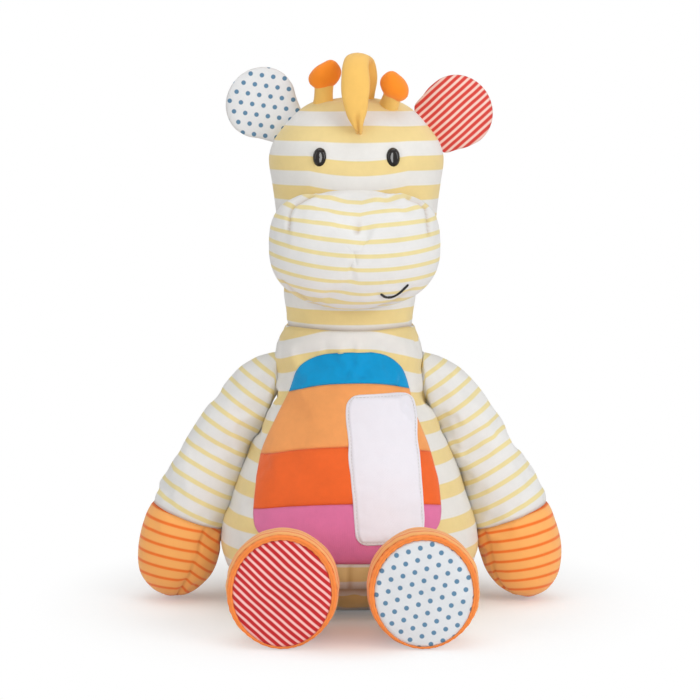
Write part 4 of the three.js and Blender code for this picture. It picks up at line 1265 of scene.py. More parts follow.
@dataclass
class Torso:
    """The pear of striped jersey that all the other pieces sit on, with the seat's panel under it."""

    height: float = 198.0
    half_width: float = 92.0
    front_depth: float = 82.0
    back_depth: float = 78.0
    squareness: float = 2.15
    base_seam: float = 22.0
    mouth_sizes: tuple[float, float, float] = (47.1, 48.5, 48.5)
    mouth_from: float = 0.8
    lip_height: float = 203.0
    stripe_height: float = 22.65
    stripe_start: float = 42.0
    mouth_depth: float = 8.0
    groove_depth: float = 1.1
    stuffing: Stuffing = Stuffing()
    lumps: Lumps = Lumps(0.9, 34, 3)
    lip_folds: Gathers = Gathers(0.8, 9, 41, (1, 1, 0.3), reach=11)
    base_folds: Gathers = Gathers(0.8, 6, 43, (1, 1, 0.2), reach=6)
    profile: Table = (
        (0.0, 0.62, 0.5, 0.56),
        (0.02, 0.72, 0.64, 0.68),
        (0.06, 0.85, 0.81, 0.84),
        (0.111, 0.935, 0.92, 0.935),
        (0.17, 0.985, 0.975, 0.985),
        (0.23, 1.0, 1.0, 1.0),
        (0.31, 0.965, 0.985, 0.99),
        (0.4, 0.885, 0.93, 0.94),
        (0.505, 0.79, 0.85, 0.87),
        (0.606, 0.69, 0.765, 0.79),
        (0.707, 0.61, 0.69, 0.72),
        (0.8, 0.575, 0.64, 0.67),
        (0.9, 0.555, 0.61, 0.635),
        (1.0, 0.53, 0.59, 0.62),
    )
    fill: Table = (
        (30, 0, 0),
        (65, 3.4, 2.0),
        (118, 5.6, 5.0),
        (138, 4.0, 4.0),
        (152, 0.8, 0.8),
        (166, 1.4, 1.2),
        (180, 4.4, 2.8),
        (188, 4.6, 2.8),
        (196, 3.0, 1.8),
        (203, 0, 0),
    )
    hit: BVHTree | None = None

    def fill_at(self, side: Side, height: np.ndarray) -> np.ndarray:
        """How far the stuffing presses the cover out under one arm, at heights above the floor."""
        table = np.array(self.fill)
        return np.interp(height, table[:, 0], table[:, 1 if side is Side.LEFT else 2])

    def sizes_at(self, height: np.ndarray) -> np.ndarray:
        """Half width, front depth and back depth at heights above the floor.

        Args:
            height: Heights in millimetres.

        Returns:
            One row for each height.
        """
        share = np.atleast_1d(height) / self.height
        full = np.array([self.half_width, self.front_depth, self.back_depth])
        sizes = smooth_rows(np.array(self.profile), share) * full
        mouth = smoothstep(share, self.mouth_from, 1)[:, None]
        return lerp(sizes, np.array(self.mouth_sizes), mouth)

    def loft(self) -> Loft:
        """Rings from the middle of the seat up to the rolled lip round the neck.

        Returns:
            The bare form, before its seams.
        """
        heights = np.concatenate([np.linspace(0, 20, 11), np.linspace(24, self.height, 40)])
        wall = np.column_stack([heights, self.sizes_at(heights)])
        base = tucked_base(wall[0, 1:], 0.0, (0.04, 0.3, 0.6, 0.9))
        mouth = self.lip_height - self.mouth_depth
        lip = np.array(
            [
                [self.lip_height - 1.2, 47.2, 48.2, 48.2],
                [self.lip_height, 46.0, 46.6, 46.6],
                [self.lip_height - 0.9, 44.4, 44.8, 44.8],
                [self.lip_height - 6.0, 42.5, 42.5, 42.5],
                [mouth, 30.0, 30.0, 30.0],
                [mouth, 3.0, 3.0, 3.0],
            ]
        )
        rows = even_rows(np.concatenate([base, wall, lip]), FACE_STEP, 3)
        centres = np.column_stack([np.zeros((len(rows), 2)), rows[:, 0]])
        points = ring_loft(centres, RIGHT, BACKWARD, rows[:, 1:], self.squareness)
        return Loft(points, np.zeros(3), UP * mouth)

    def stripe(self, points: np.ndarray) -> np.ndarray:
        """Place of each point in the stripes, which arch over the tummy and droop at the shoulders.

        Args:
            points: Places in millimetres.

        Returns:
            Numbers of stripes above the lowest one, with yellow round each whole number.
        """
        x, y, z = xyz(points)
        front = smoothstep(-y, 0, 40) * np.clip(1 - (x / 62) ** 2, 0, 1)
        arch = 7.5 * np.clip((z - 102) / 83, -0.85, 1) * front
        droop = 5.0 * smoothstep(z, 95, 150) * smoothstep(np.abs(x), 12, 50) * smoothstep(-y, -20, 20)
        run = (z - arch + droop - self.stripe_start) / self.stripe_height + 1
        return run + 0.2 * np.sin(2 * math.pi * run) / (2 * math.pi)

    def build(self, finish: Finishes) -> bpy.types.Object:
        """Makes the torso's cover and the seat's panel in one skin.

        Args:
            finish: The toy's finishes.

        Returns:
            The finished piece.
        """
        loft = self.loft()
        points = loft.points
        x, y, z = xyz(points)
        base_groove = bell(z - self.base_seam, 1.6)
        back_groove = bell(x, 1.3) * smoothstep(y, 10, 30) * smoothstep(z, 20, 26)
        low_front = smoothstep(-y, 10, 30) * smoothstep(-z, -45, -40) * smoothstep(z, 20, 24)
        groove = np.max([base_groove, back_groove, bell(x - 0.7, 1.3) * low_front], axis=0)
        lumps = self.lumps.at(points) * smoothstep(z, 3, 20)
        under_lip = np.clip(self.lip_height - z, 0, None)
        folds = self.lip_folds.beside(under_lip, points) * smoothstep(z, 150, 170)
        folds = folds + self.base_folds.beside(z - self.base_seam, points)
        loft.values["stripe"] = self.stripe(points)
        # painted shadow: the front of the seat below the base seam is darkened, like the seam grooves, through the seam
        # value
        shadow = smoothstep(-z, -self.base_seam - 16, -self.base_seam) * smoothstep(-y, 30, 60)
        loft.values["seam"] = groove + 0.95 * shadow
        flank = np.where(x < 0, self.fill_at(Side.LEFT, z), self.fill_at(Side.RIGHT, z))
        flank *= smoothstep(np.abs(x) / np.maximum(np.abs(x).max(axis=-1, keepdims=True), 1), 0.5, 0.9)
        loft.push(lumps + folds + flank)
        self.stuffing.settle(loft, (groove > 0.7) | (z < 3) | (z > self.lip_height - 5))
        loft.push(-self.groove_depth * groove)
        made = loft.mesh("torso_skin")
        self.hit = BVHTree.FromObject(made, bpy.context.evaluated_depsgraph_get())
        finish.striped.fit(made, None, "torso_cover", "base_panel", "torso_filling", "pellet_pouch", fill=0.8)
        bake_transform(made)
        return made

    def front_at(self, x: np.ndarray, z: np.ndarray) -> np.ndarray:
        """Places on the front of the finished torso, straight behind spots in X and Z."""
        return cast_front(self.hit, x, z)

    def outward(self, front: np.ndarray) -> np.ndarray:
        """Ways out of the torso at places on its front."""
        x, y, _ = xyz(front)
        return unit(np.stack([x / self.half_width**2, y / self.front_depth**2, np.zeros_like(x)], axis=-1))


@dataclass
class Panel:
    """One sewn band of the tummy: its word, and its foot and top as shares of the tummy's height."""

    word: str
    low: float
    high: float


@dataclass
class Tummy:
    """Four bands of cloth in an arch on the torso's front."""

    foot: float = 42.6
    crown: float = 187.6
    lift: float = 1.3
    border_lift: float = 0.4
    hidden_depth: float = 1.4
    lumps: Lumps = Lumps(0.3, 15, 8)
    arch_power: float = 2.3
    outline: Table = (
        (0.0, 20.0, 0.0),
        (0.027, 37.0, -1.0),
        (0.065, 51.0, -2.0),
        (0.12, 60.5, -2.0),
        (0.16, 65.0, -2.0),
        (0.21, 66.6, -2.0),
        (0.26, 66.4, -2.1),
        (0.36, 64.9, -2.2),
        (0.4, 63.9, -2.7),
        (0.53, 59.1, -3.4),
        (0.69, 49.2, -2.7),
        (0.795, 43.3, -0.8),
        (0.85, 40.8, -0.3),
        (0.91, 37.5, -0.3),
        (0.945, 33.0, 0.0),
        (0.975, 26.0, 1.0),
        (0.99, 20.0, 2.0),
        (1.0, 11.0, 4.0),
    )
    arch: Table = (
        (0.0, 0.0, 0.0),
        (0.242, 6.1, 1.7),
        (0.494, 8.2, 1.7),
        (0.804, 6.9, 1.3),
        (1.0, 0.0, 0.0),
    )
    panels: tuple[Panel, ...] = (
        Panel("pink", 0.0, 0.242),
        Panel("orange", 0.242, 0.494),
        Panel("peach", 0.494, 0.804),
        Panel("blue", 0.804, 1.0),
    )

    def places(self, share: np.ndarray, across: np.ndarray) -> tuple[np.ndarray, np.ndarray]:
        """X and Z of spots on the tummy.

        Args:
            share: Shares of the tummy's height.
            across: Shares of its half width, from -1 to 1.

        Returns:
            Distances across and heights.
        """
        half, middle = smooth_rows(np.array(self.outline), share.ravel()).T.reshape(2, *share.shape)
        shares, rises, slants = np.array(self.arch).T
        rise, slant = np.interp(share, shares, rises), np.interp(share, shares, slants)
        height = lerp(self.foot, self.crown, share) + rise * (1 - np.abs(across) ** self.arch_power) + slant * across
        return middle + half * across, height

    def build_panel(self, panel: Panel, torso: Torso, finish: Finishes) -> bpy.types.Object:
        """Makes one band as a thin puffed shell on the torso.

        Args:
            panel: The band.
            torso: The torso under it.
            finish: The toy's finishes.

        Returns:
            The finished piece.
        """
        tall = self.crown - self.foot
        rows = max(int((panel.high - panel.low) * tall / 1.3), 12)
        share = np.linspace(panel.low, panel.high, rows)[:, None]
        share, across = np.broadcast_arrays(share, crowded(97, 0.4))
        x, z = self.places(share, across)
        front = torso.front_at(x, z)
        edge_rows = np.minimum(share - panel.low, panel.high - share) * tall
        half = np.abs(x[:, -1:] - x[:, :1]) / 2
        edge = np.minimum(edge_rows, half * (1 - np.abs(across)))
        puff = 1 - np.exp(-np.clip(edge, 0, None) / 1.5)
        out = torso.outward(front)
        lift = self.border_lift + self.lift * puff + self.lumps.at(front) * puff
        name = f"tummy_band_{panel.word}"
        made = sheet_shell(f"{name}_skin", front + out * lift[..., None], front - out * self.hidden_depth)
        # painted shade along the band's edges, where it meets its neighbours
        put_values(made, "seam", np.concatenate([0.4 * bell(edge, 0.7).ravel(), np.ones(edge.size)]))
        return finish.bands[panel.word].fit(made, "torso", name, fill=0.5)

    def build(self, torso: Torso, finish: Finishes) -> list[bpy.types.Object]:
        """Makes all the bands."""
        return [self.build_panel(panel, torso, finish) for panel in self.panels]


def sheet_shell(name: str, outer: np.ndarray, inner: np.ndarray) -> bpy.types.Object:
    """A closed thin mesh between two sheets of points.

    Args:
        name: Name of the piece.
        outer: Points of the outer sheet, in rows that rise and columns that go to the right.
        inner: Points of the inner sheet, in the same order.

    Returns:
        The new object.
    """
    rows, columns = outer.shape[:2]
    count = rows * columns
    row, column = np.meshgrid(np.arange(rows - 1), np.arange(columns - 1), indexing="ij")
    corner = (row * columns + column).ravel()
    front = np.column_stack([corner, corner + 1, corner + columns + 1, corner + columns])
    back = front[:, ::-1] + count
    border = [
        *range(columns - 1),
        *(columns - 1 + i * columns for i in range(rows - 1)),
        *(count - 1 - i for i in range(columns - 1)),
        *((rows - 1 - i) * columns for i in range(rows - 1)),
    ]
    ahead = [*border[1:], border[0]]
    rim = [[b, a, a + count, b + count] for a, b in zip(border, ahead)]
    places = np.concatenate([outer.reshape(-1, 3), inner.reshape(-1, 3)])
    faces = [*front.tolist(), *back.tolist(), *rim]
    made = mesh_object(name, places, faces)
    u = np.broadcast_to(np.arange(columns), (rows, columns)) * np.linalg.norm(outer[0, -1] - outer[0, 0]) / columns
    v = np.broadcast_to(np.arange(rows)[:, None], (rows, columns)) * np.linalg.norm(outer[-1, 0] - outer[0, 0]) / rows
    flat = np.column_stack([np.tile(u.ravel(), 2), np.tile(v.ravel(), 2)])
    map_cloth(made, flat[np.concatenate([np.ravel(face) for face in faces])])
    return made


@dataclass
class Neck:
    """The short tube of jersey between the torso's lip and the head."""

    foot: float = 198.0
    height: float = 34.0
    ball_radius: float = 45.0
    top_half_width: float = 48.5
    top_half_depth: float = 46.0
    buried: float = 9.0
    stripe_start: float = 212.0
    low_seam: float = 203.0
    high_seam: float = 231.0
    swell: float = 0.6
    lumps: Lumps = Lumps(0.9, 15, 21)
    low_folds: Gathers = Gathers(0.8, 7, 23, (1, 1, 0.3), reach=8)
    high_folds: Gathers = Gathers(0.8, 7, 24, (1, 1, 0.3), reach=6)

    def build(self, finish: Finishes) -> bpy.types.Object:
        """Makes the neck's cover, with its foot inside the torso's lip.

        Args:
            finish: The toy's finishes.

        Returns:
            The finished piece.
        """
        heights = np.linspace(-self.buried, self.height - 0.6, 20)
        grown = smoothstep(heights / self.height, 0.3, 1)
        half = lerp(self.ball_radius, self.top_half_width - 0.6, grown)
        deep = lerp(self.ball_radius, self.top_half_depth - 0.6, grown)
        wall = np.column_stack([heights + self.foot, half, deep, deep])
        low = tucked_base(wall[0, 1:], wall[0, 0], (0.05, 0.5, 0.9))
        high = tucked_base(wall[-1, 1:], wall[-1, 0] + 0.6, (0.96, 0.6, 0.05))
        rows = even_rows(np.concatenate([low, wall, high]), FACE_STEP, 2)
        centres = np.column_stack([np.zeros((len(rows), 2)), rows[:, 0]])
        points = ring_loft(centres, RIGHT, BACKWARD, rows[:, 1:])
        loft = Loft(points, np.array([0, 0, wall[0, 0]]), np.array([0, 0, wall[-1, 0] + 0.6]))
        z = loft.points[..., 2]
        above, below = z - self.low_seam, self.high_seam - z
        folds = self.low_folds.beside(above, points) + self.high_folds.beside(below, points)
        loft.push(smoothstep(above, 0, 5) * smoothstep(below, 0, 5) * (self.swell + self.lumps.at(points) + folds))
        loft.values["stripe"] = (z - self.stripe_start) / WIDE_STRIPE
        # painted shade along both seam grooves
        loft.values["seam"] = bell(above - 0.5, 1.6) + bell(below + 0.5, 1.6)
        made = loft.mesh("neck_skin")
        finish.striped.fit(made, None, "neck_cover", "neck_filling", fill=0.7)
        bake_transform(made)
        return made


@dataclass
class Head:
    """The head's rounded box of striped jersey, and the places on it that other pieces need."""

    foot: float = 232.3
    height: float = 135.0
    half_width: float = 62.0
    front_depth: float = 54.0
    back_depth: float = 54.0
    offset: float = 4.5
    squareness: float = 2.4
    foot_share: float = 0.22
    crown_share: float = 0.54
    neck_sizes: tuple[float, float, float] = (48.5, 46.0, 46.0)
    stripe_start: float = 340.6
    groove_depth: float = 0.5
    stuffing: Stuffing = Stuffing(slack=0.02, cap=1.6)
    lumps: Lumps = Lumps(0.7, 28, 5)
    folds: Gathers = Gathers(0.7, 8, 27, (1, 1, 0.3), reach=9)
    profile: Table = (
        (0.0, 0.79, 0.855, 0.855),
        (0.1, 0.84, 0.905, 0.935),
        (0.22, 0.885, 0.95, 1.0),
        (0.37, 0.915, 0.97, 1.0),
        (0.54, 0.965, 0.955, 1.0),
        (0.667, 1.0, 0.92, 0.97),
        (0.75, 0.955, 0.86, 0.92),
        (0.8, 0.885, 0.8, 0.86),
        (0.85, 0.795, 0.73, 0.79),
        (0.9, 0.695, 0.63, 0.69),
        (0.945, 0.575, 0.52, 0.57),
        (0.975, 0.42, 0.38, 0.42),
        (0.995, 0.2, 0.18, 0.2),
    )

    def sizes_at(self, share: np.ndarray) -> np.ndarray:
        """Sideways place, half width, front depth and back depth at shares of the head's height.

        Args:
            share: Shares of the height above the head's foot.

        Returns:
            One row for each share.
        """
        share = np.atleast_1d(share)
        full = np.array([self.half_width, self.front_depth, self.back_depth])
        free = smoothstep(share, 0, self.foot_share)[:, None]
        sizes = lerp(np.array(self.neck_sizes), smooth_rows(np.array(self.profile), share) * full, free)
        return np.column_stack([self.offset * free, sizes])

    def face_at(self, x: float, rise: float) -> np.ndarray:
        """Place on the front of the head at a distance across and above its foot."""
        centre, half, front, _ = self.sizes_at(rise / self.height)[0]
        left = max(1 - abs((x - centre) / half) ** self.squareness, 0) ** (1 / self.squareness)
        return np.array([x, -front * left, self.foot + rise])

    def crown_at(self, x: float, y: float) -> np.ndarray:
        """Place on the crown straight above a spot.

        Args:
            x: Distance across.
            y: Distance behind the middle.

        Returns:
            The place in millimetres.
        """
        shares = np.linspace(self.crown_share, 1, 2000)
        centre, half, front, back = self.sizes_at(shares).T
        deep = front if y < 0 else back
        inside = np.abs((x - centre) / half) ** self.squareness + np.abs(y / deep) ** self.squareness < 1
        share = shares[inside].max() if inside.any() else self.crown_share
        return np.array([x, y, self.foot + share * self.height])

    def stripe(self, points: np.ndarray) -> np.ndarray:
        """Place of each point in the stripes, which dip over the muzzle and end in a yellow crown.

        Args:
            points: Places in millimetres.

        Returns:
            Numbers of stripes above the lowest one, with yellow round each whole number.
        """
        x, y, z = xyz(points)
        dip = 3.6 * smoothstep(-y, 5, 40) * np.clip(1 - ((x - 6) / 34) ** 2, 0, 1) * smoothstep(-z, -345, -320)
        level = np.minimum((z + dip - self.stripe_start) / WIDE_STRIPE, 0.86)
        return level + 0.17 * smoothstep(level, 0.78, 0.86)

    def build(self, finish: Finishes) -> bpy.types.Object:
        """Makes the head's cover.

        Args:
            finish: The toy's finishes.

        Returns:
            The finished piece.
        """
        shares = np.linspace(0, 0.995, 60)
        wall = np.column_stack([self.foot + shares * self.height, self.sizes_at(shares)])
        under = ((1, 0.05), (0, 0.6), (-0.4, 0.92))
        low = np.array([[self.foot + up, 0.0, *(np.array(self.neck_sizes) * size)] for up, size in under])
        top = self.foot + self.height
        crown = np.array([[top - 0.2, self.offset, 7.0, 5.6, 6.2], [top, self.offset, 1.5, 1.3, 1.3]])
        rows = even_rows(np.concatenate([low, wall, crown]), FACE_STEP, 3)
        centres = np.column_stack([rows[:, 1], np.zeros(len(rows)), rows[:, 0]])
        points = ring_loft(centres, RIGHT, BACKWARD, rows[:, 2:], self.squareness)
        loft = Loft(points, np.array([0, 0, self.foot + 1]), np.array([self.offset, 0, top]))
        z = points[..., 2]
        loft.values["stripe"] = self.stripe(points)
        foot_groove = bell(z - self.foot, 2.0)
        # painted shade in the groove at the head's foot seam
        loft.values["seam"] = foot_groove
        loft.push(self.lumps.at(points) * smoothstep(z, 234, 245) * smoothstep(-z, -366, -350))
        loft.push(self.folds.beside(z - self.foot, points))
        self.stuffing.settle(loft, (z < self.foot + 3) | (z > self.foot + self.height - 3))
        loft.push(-self.groove_depth * foot_groove)
        made = loft.mesh("head_skin")
        washers = (f"eye_washer_{side.label}" for side in Side)
        return finish.striped.fit(made, "head", "head_cover", "head_filling", *washers, fill=0.85)


@dataclass
class Muzzle:
    """The rounded cup sewn on the lower face, with its darts and its stitched smile."""

    half_width: float = 59.0
    half_depth: float = 44.0
    half_height: float = 40.5
    centre: tuple[float, float, float] = (3.3, -62.0, 261.3)
    squareness: float = 2.25
    chin_clearance: float = 49.4
    chin_top: float = 234.0
    dart_x: float = 5.5
    top_squareness: float = 3.2
    dart: Table = ((5.5, 304.0), (5.5, 276.5))
    left_fold: Table = (
        (-41.8, 277.0),
        (-41.8, 284.0),
        (-41.4, 288.5),
        (-39.8, 292.2),
        (-36.2, 295.2),
        (-31.0, 297.4),
        (-25.0, 299.5),
    )
    right_fold: Table = (
        (53.4, 273.0),
        (53.6, 281.0),
        (53.2, 287.0),
        (51.5, 291.5),
        (47.0, 295.2),
        (40.0, 298.0),
    )
    chin_seam: Table = (
        (-46.4, 241.8),
        (-37.4, 233.6),
        (-28.4, 227.0),
        (-17.5, 222.5),
        (-5.6, 220.4),
        (4.2, 220.4),
        (12.6, 221.6),
        (27.7, 226.0),
        (41.4, 235.0),
    )
    smile: Table = (
        (21.8, 232.9),
        (23.7, 231.4),
        (26.2, 230.7),
        (29.3, 231.1),
        (32.4, 232.7),
        (35.4, 235.1),
        (39.3, 239.1),
    )
    seam_depths: tuple[float, float, float, float] = (1.0, 1.7, 1.7, 0.5)
    stuffing: Stuffing = Stuffing(slack=0.02, cap=1.3)
    smile_run: Stitching = Stitching("smile_stitches", spacing=0.75, length=2.6, thickness=2.1, uneven=0.05)
    smile_step: float = 0.6
    smile_lift: float = 0.25
    lumps: Lumps = Lumps(0.6, 24, 9)
    folds: Gathers = Gathers(1.1, 9, 19, reach=7)
    line_spacing: float = 10.3
    lines: tuple[float, ...] = (227.6, 233.5, 241.7, 250.8, 260.1, 270.1, 281.4, 291.1, 298.4, 306.0)
    hit: BVHTree | None = None

    def build(self, finish: Finishes) -> bpy.types.Object:
        """Makes the muzzle's cover.

        Args:
            finish: The toy's finishes.

        Returns:
            The finished piece.
        """
        angle = np.linspace(0.02, math.pi - 0.02, 90)
        power = 2 / self.squareness
        forward = -np.sign(np.cos(angle)) * np.abs(np.cos(angle)) ** power
        size = np.sin(angle) ** power
        table = np.column_stack([forward * self.half_depth, size * self.half_width, size])
        rows = even_rows(table, FACE_STEP, 2)
        middle = np.array(self.centre)
        centres = middle - BACKWARD * rows[:, :1]
        sizes = even_sizes(rows[:, 1], rows[:, 2] * self.half_height)
        points = ring_loft(centres, RIGHT, UP, sizes, self.squareness, far_squareness=self.top_squareness)
        loft = Loft(points, middle + BACKWARD * self.half_depth, middle - BACKWARD * self.half_depth)
        x, y, z = xyz(points)
        front = smoothstep(-y, 58, 66)
        away = [line_distance(x, z, line) for line in (self.dart, self.left_fold, self.right_fold, self.chin_seam)]
        seams = [bell(distance, 1.0) * front for distance in away]
        groove = np.max(seams, axis=0)
        beside = np.min(away[1:3], axis=0)
        loft.values["stripe"] = self.stripe(points)
        # painted shade: seam grooves and fold lines darkened, and a band round the cup where it meets the face
        thin = bell(np.min(away[:3], axis=0), 0.6) * front
        loft.values["seam"] = np.maximum(0.45 * groove, 0.9 * np.maximum(thin, bell(y + 52, 5)))
        loft.push(self.lumps.at(points) + self.folds.beside(beside, points) * front)
        self.stuffing.settle(loft, (y > -58) | (groove > 0.6))
        *upper, chin = (depth * seam for depth, seam in zip(self.seam_depths, seams))
        loft.push(-np.max(upper, axis=0) - chin)
        x, y, z = xyz(loft.points)
        clear = np.maximum(self.chin_clearance / np.maximum(np.hypot(x, y), 1), 1)
        grow = np.where(z < self.chin_top, clear, 1)
        loft.points = np.stack([x * grow, y * grow, z], axis=-1)
        made = loft.mesh("muzzle_skin")
        self.hit = BVHTree.FromObject(made, bpy.context.evaluated_depsgraph_get())
        return finish.fine.fit(made, "head", "muzzle_cover", "muzzle_filling", fill=0.9)

    def sew_smile(self, finish: Finishes) -> bpy.types.Object:
        """Sews the smile as a run of close black stitches on the muzzle.

        Args:
            finish: The toy's finishes.

        Returns:
            The finished piece.
        """
        drawn = even_rows(np.array(self.smile), self.smile_step, 2)
        path = cast_front(self.hit, drawn[:, 0], drawn[:, 1]) - BACKWARD * self.smile_lift
        return finish.smile.fit(self.smile_run.sew([path], finish.smile.look), "head", "smile_thread")

    def stripe(self, points: np.ndarray) -> np.ndarray:
        """Place of each point in the thin stripes, which sag between the cheeks and bend at the dart.

        Args:
            points: Places in millimetres.

        Returns:
            Numbers of stripes above the lowest one.
        """
        x, y, z = xyz(points)
        dip = 0.0021 * (x - 12) ** 2 * (1 - 0.6 * smoothstep(z, 268, 292))
        dart = 2.2 * smoothstep(z, 262, 286) * np.exp(-np.abs(x - self.dart_x) / 14)
        heights, numbers = np.array(self.lines), np.arange(len(self.lines))
        place = np.interp(z - dip + dart, heights, numbers)
        middle, power = np.array(self.centre), self.squareness
        across = np.abs((x - middle[0]) / self.half_width)
        low = abs((heights[0] - middle[2]) / self.half_height)
        left = np.clip(1 - across**power - low**power, 0, None) ** (1 / power)
        behind = (y - (middle[1] - self.half_depth * left)) / self.line_spacing
        return np.where(z - dip + dart < heights[0], -np.clip(behind, 0, None), place) + 6


@dataclass
class Arm:
    """One arm that hangs from its shoulder seam: a striped sleeve and an orange hand."""

    side: Side
    torso: Torso
    shoulder: float = 167.0
    inset: float = 4.0
    drop: float = 164.5
    half_width: float = 29.6
    depth_share: float = 0.93
    clearance: float = 0.6
    cover: float = 1.2
    root_sink: float = 1.8
    widest_share: float = 0.23
    fill_top: float = 152.0
    wrist_row: int = 7
    bow: float = 0.2
    grain: float = 34.0
    sleeve_turn: float = 6.0
    hand_turn: tuple[float, float] = (-6.0, 4.0)
    gusset_slope: float = 0.62
    sleeve_start: float = 4.9
    hand_start: float = 5.26
    groove_depth: float = 1.0
    stuffing: Stuffing = Stuffing(slack=0.03, cap=2.0)
    shoulder_folds: Gathers = Gathers(1.3, 8, 71, reach=16)
    wrist_folds: Gathers = Gathers(0.6, 6, 73, reach=7)
    gussets: dict[Side, tuple[float, float]] = field(
        default_factory=lambda: {Side.LEFT: (0.47, 3.5), Side.RIGHT: (0.74, 8.0)}
    )
    rows: Table = (
        (0.006, 78, 0.58),
        (0.027, 62, 0.62),
        (0.079, 43, 0.66),
        (0.22, 30, 0.7),
        (0.377, 27, 0.785),
        (0.46, 25, 0.865),
        (0.535, 23.5, 0.93),
        (0.635, 21, 0.965),
        (0.784, 12, 1.0),
        (0.888, 5, 0.878),
        (0.954, 1, 0.591),
        (0.985, 0, 0.304),
    )

    def spine(self) -> np.ndarray:
        """Rows of X, Z, half width and lean down the arm.

        Returns:
            Even rows from the shoulder seam to the hand's tip.
        """
        x = float(self.torso.sizes_at(self.shoulder)[0, 0]) - self.inset
        found, last = [], self.rows[0]
        for drop, lean, half in self.rows:
            x += (drop - last[0]) * self.drop * math.tan(math.radians((lean + last[1]) / 2))
            bow = self.bow * math.sin(math.pi * min(drop / 0.68, 1))
            found.append([x + bow, self.shoulder - drop * self.drop, half * self.half_width, lean])
            last = (drop, lean, half)
        first = found[0]
        start = [[first[0] - 4, first[1] + 0.4, 3.0, 84], [first[0] - 3.4, first[1] + 0.3, first[2] * 0.8, 82]]
        end = [[found[-1][0], self.shoulder - self.drop * 0.998, 2.0, 0]]
        return even_rows(np.array([*start, *found, *end]), FACE_STEP, 3)

    def loft(self) -> Loft:
        """Rings down the arm, which build then moves off the torso's side for every angle of the swing.

        Returns:
            The form, before its seams.
        """
        turn = self.side.value
        spine = self.spine()
        lean = np.radians(spine[:, 3])
        centres = np.column_stack([turn * spine[:, 0], np.zeros(len(spine)), spine[:, 1]])
        across = np.column_stack([turn * np.cos(lean), np.zeros(len(spine)), np.sin(lean)])
        sizes = even_sizes(spine[:, 2], spine[:, 2] * self.depth_share)
        points = ring_loft(centres, across, -BACKWARD * turn, sizes)
        return Loft(points, centres[0], centres[-1] - UP * 0.3)

    def local(self, points: np.ndarray, spine: np.ndarray) -> np.ndarray:
        """Distance of each point outwards from the arm's own middle line."""
        x, z, _, lean = (spine[:, i : i + 1] for i in range(4))
        lean = np.radians(lean)
        return (self.side.value * points[..., 0] - x) * np.cos(lean) + (points[..., 2] - z) * np.sin(lean)

    def clear_torso(self, points: np.ndarray) -> np.ndarray:
        """Moves points off the torso's side, and leaves the root just inside its skin.

        Args:
            points: Places in millimetres.

        Returns:
            The moved places.
        """
        radius = np.hypot(points[..., 1], points[..., 2] - self.shoulder)
        level = np.maximum(self.shoulder - radius, self.widest_share * self.torso.height)
        reach = self.torso.sizes_at(level.ravel())[:, 0].reshape(radius.shape)
        gap = self.clearance + self.torso.fill_at(self.side, np.minimum(level, self.fill_top)) - self.cover
        reach = reach + lerp(-self.root_sink, gap, smoothstep(radius, 10, 20))
        moved = points.copy()
        moved[..., 0] = self.side.value * np.maximum(np.abs(points[..., 0]), reach)
        return moved

    def build(self, finish: Finishes) -> list[bpy.types.Object]:
        """Makes the sleeve and the hand.

        Args:
            finish: The toy's finishes.

        Returns:
            The finished pieces.
        """
        loft = self.loft()
        spine = self.spine()
        walked = np.concatenate([[0], np.cumsum(np.hypot(*np.diff(spine[:, :2], axis=0).T))])
        wrist_z = self.shoulder - self.rows[self.wrist_row][0] * self.drop
        wrist = int(np.argmin(np.abs(spine[:, 1] - wrist_z)))
        along = np.broadcast_to((walked - walked[wrist])[:, None], loft.points.shape[:2])
        wrist_groove = bell(along, 1.5)
        across, share = self.local(loft.points, spine), np.clip(along / along.max(), 0, 1)
        gusset_share, taper = self.gussets[self.side]
        gusset = -gusset_share * self.half_width * (1 - share**taper)
        front = loft.points[..., 1] < 1
        hand_groove = bell(across - gusset, 0.9) * (front & (along > 0))
        below = along - along.min()
        folds = self.shoulder_folds.beside(below, loft.points) + self.wrist_folds.beside(along, loft.points)
        loft.push(Lumps(0.8, 22, 11 + self.side.value).at(loft.points) + folds)
        held = (wrist_groove > 0.5) | (hand_groove > 0.6) | (along < along.min() + 9)
        self.stuffing.settle(loft, held)
        loft.push(-self.groove_depth * np.maximum(wrist_groove, hand_groove))
        points = self.clear_torso(loft.points)
        lean, slope = spine[:, 3], math.radians(self.grain)
        bend = int(np.argmax(lean < self.grain))
        down = (spine[bend, 1] - loft.points[..., 2]) * math.cos(slope)
        out = (self.side.value * loft.points[..., 0] - spine[bend, 0]) * math.sin(slope)
        tilt = np.radians(self.sleeve_turn * smoothstep(-lean, -self.grain, -22))[:, None]
        straight = smoothstep(lean, self.grain - 3, self.grain + 6)[:, None]
        run = lerp(along + np.tan(tilt) * across, along[bend, 0] + out + down, straight)
        hand_tilt = np.radians(lerp(*self.hand_turn, smoothstep(share, 0, 0.8)))
        inner = np.clip(gusset - across, 0, None) * (loft.points[..., 1] < 1)
        hand_run = along + np.tan(hand_tilt) * across - self.gusset_slope * inner
        stripes = ((run - self.sleeve_start) / FINE_STRIPE, hand_run / HAND_STRIPE + self.hand_start)
        # painted shade in the wrist groove and the hand's gusset groove
        seam = np.maximum(wrist_groove, 0.8 * hand_groove)
        middle = points[wrist].mean(axis=0)
        parts = (
            ("sleeve", slice(0, wrist + 1), (loft.first_pole, middle), finish.fine, ("arm_sleeve", "arm_filling")),
            ("hand", slice(wrist, None), (middle, loft.last_pole), finish.hand, ("hand_cover",)),
        )
        made = []
        for (word, rows, poles, look, nodes), stripe in zip(parts, stripes):
            part = Loft(points[rows], *poles, {"stripe": stripe[rows], "seam": seam[rows]})
            piece = part.mesh(f"{word}_{self.side.label}_skin")
            names = (f"{node}_{self.side.label}" for node in nodes)
            made.append(look.fit(piece, f"arm_{self.side.label}", *names, fill=0.85))
        return made


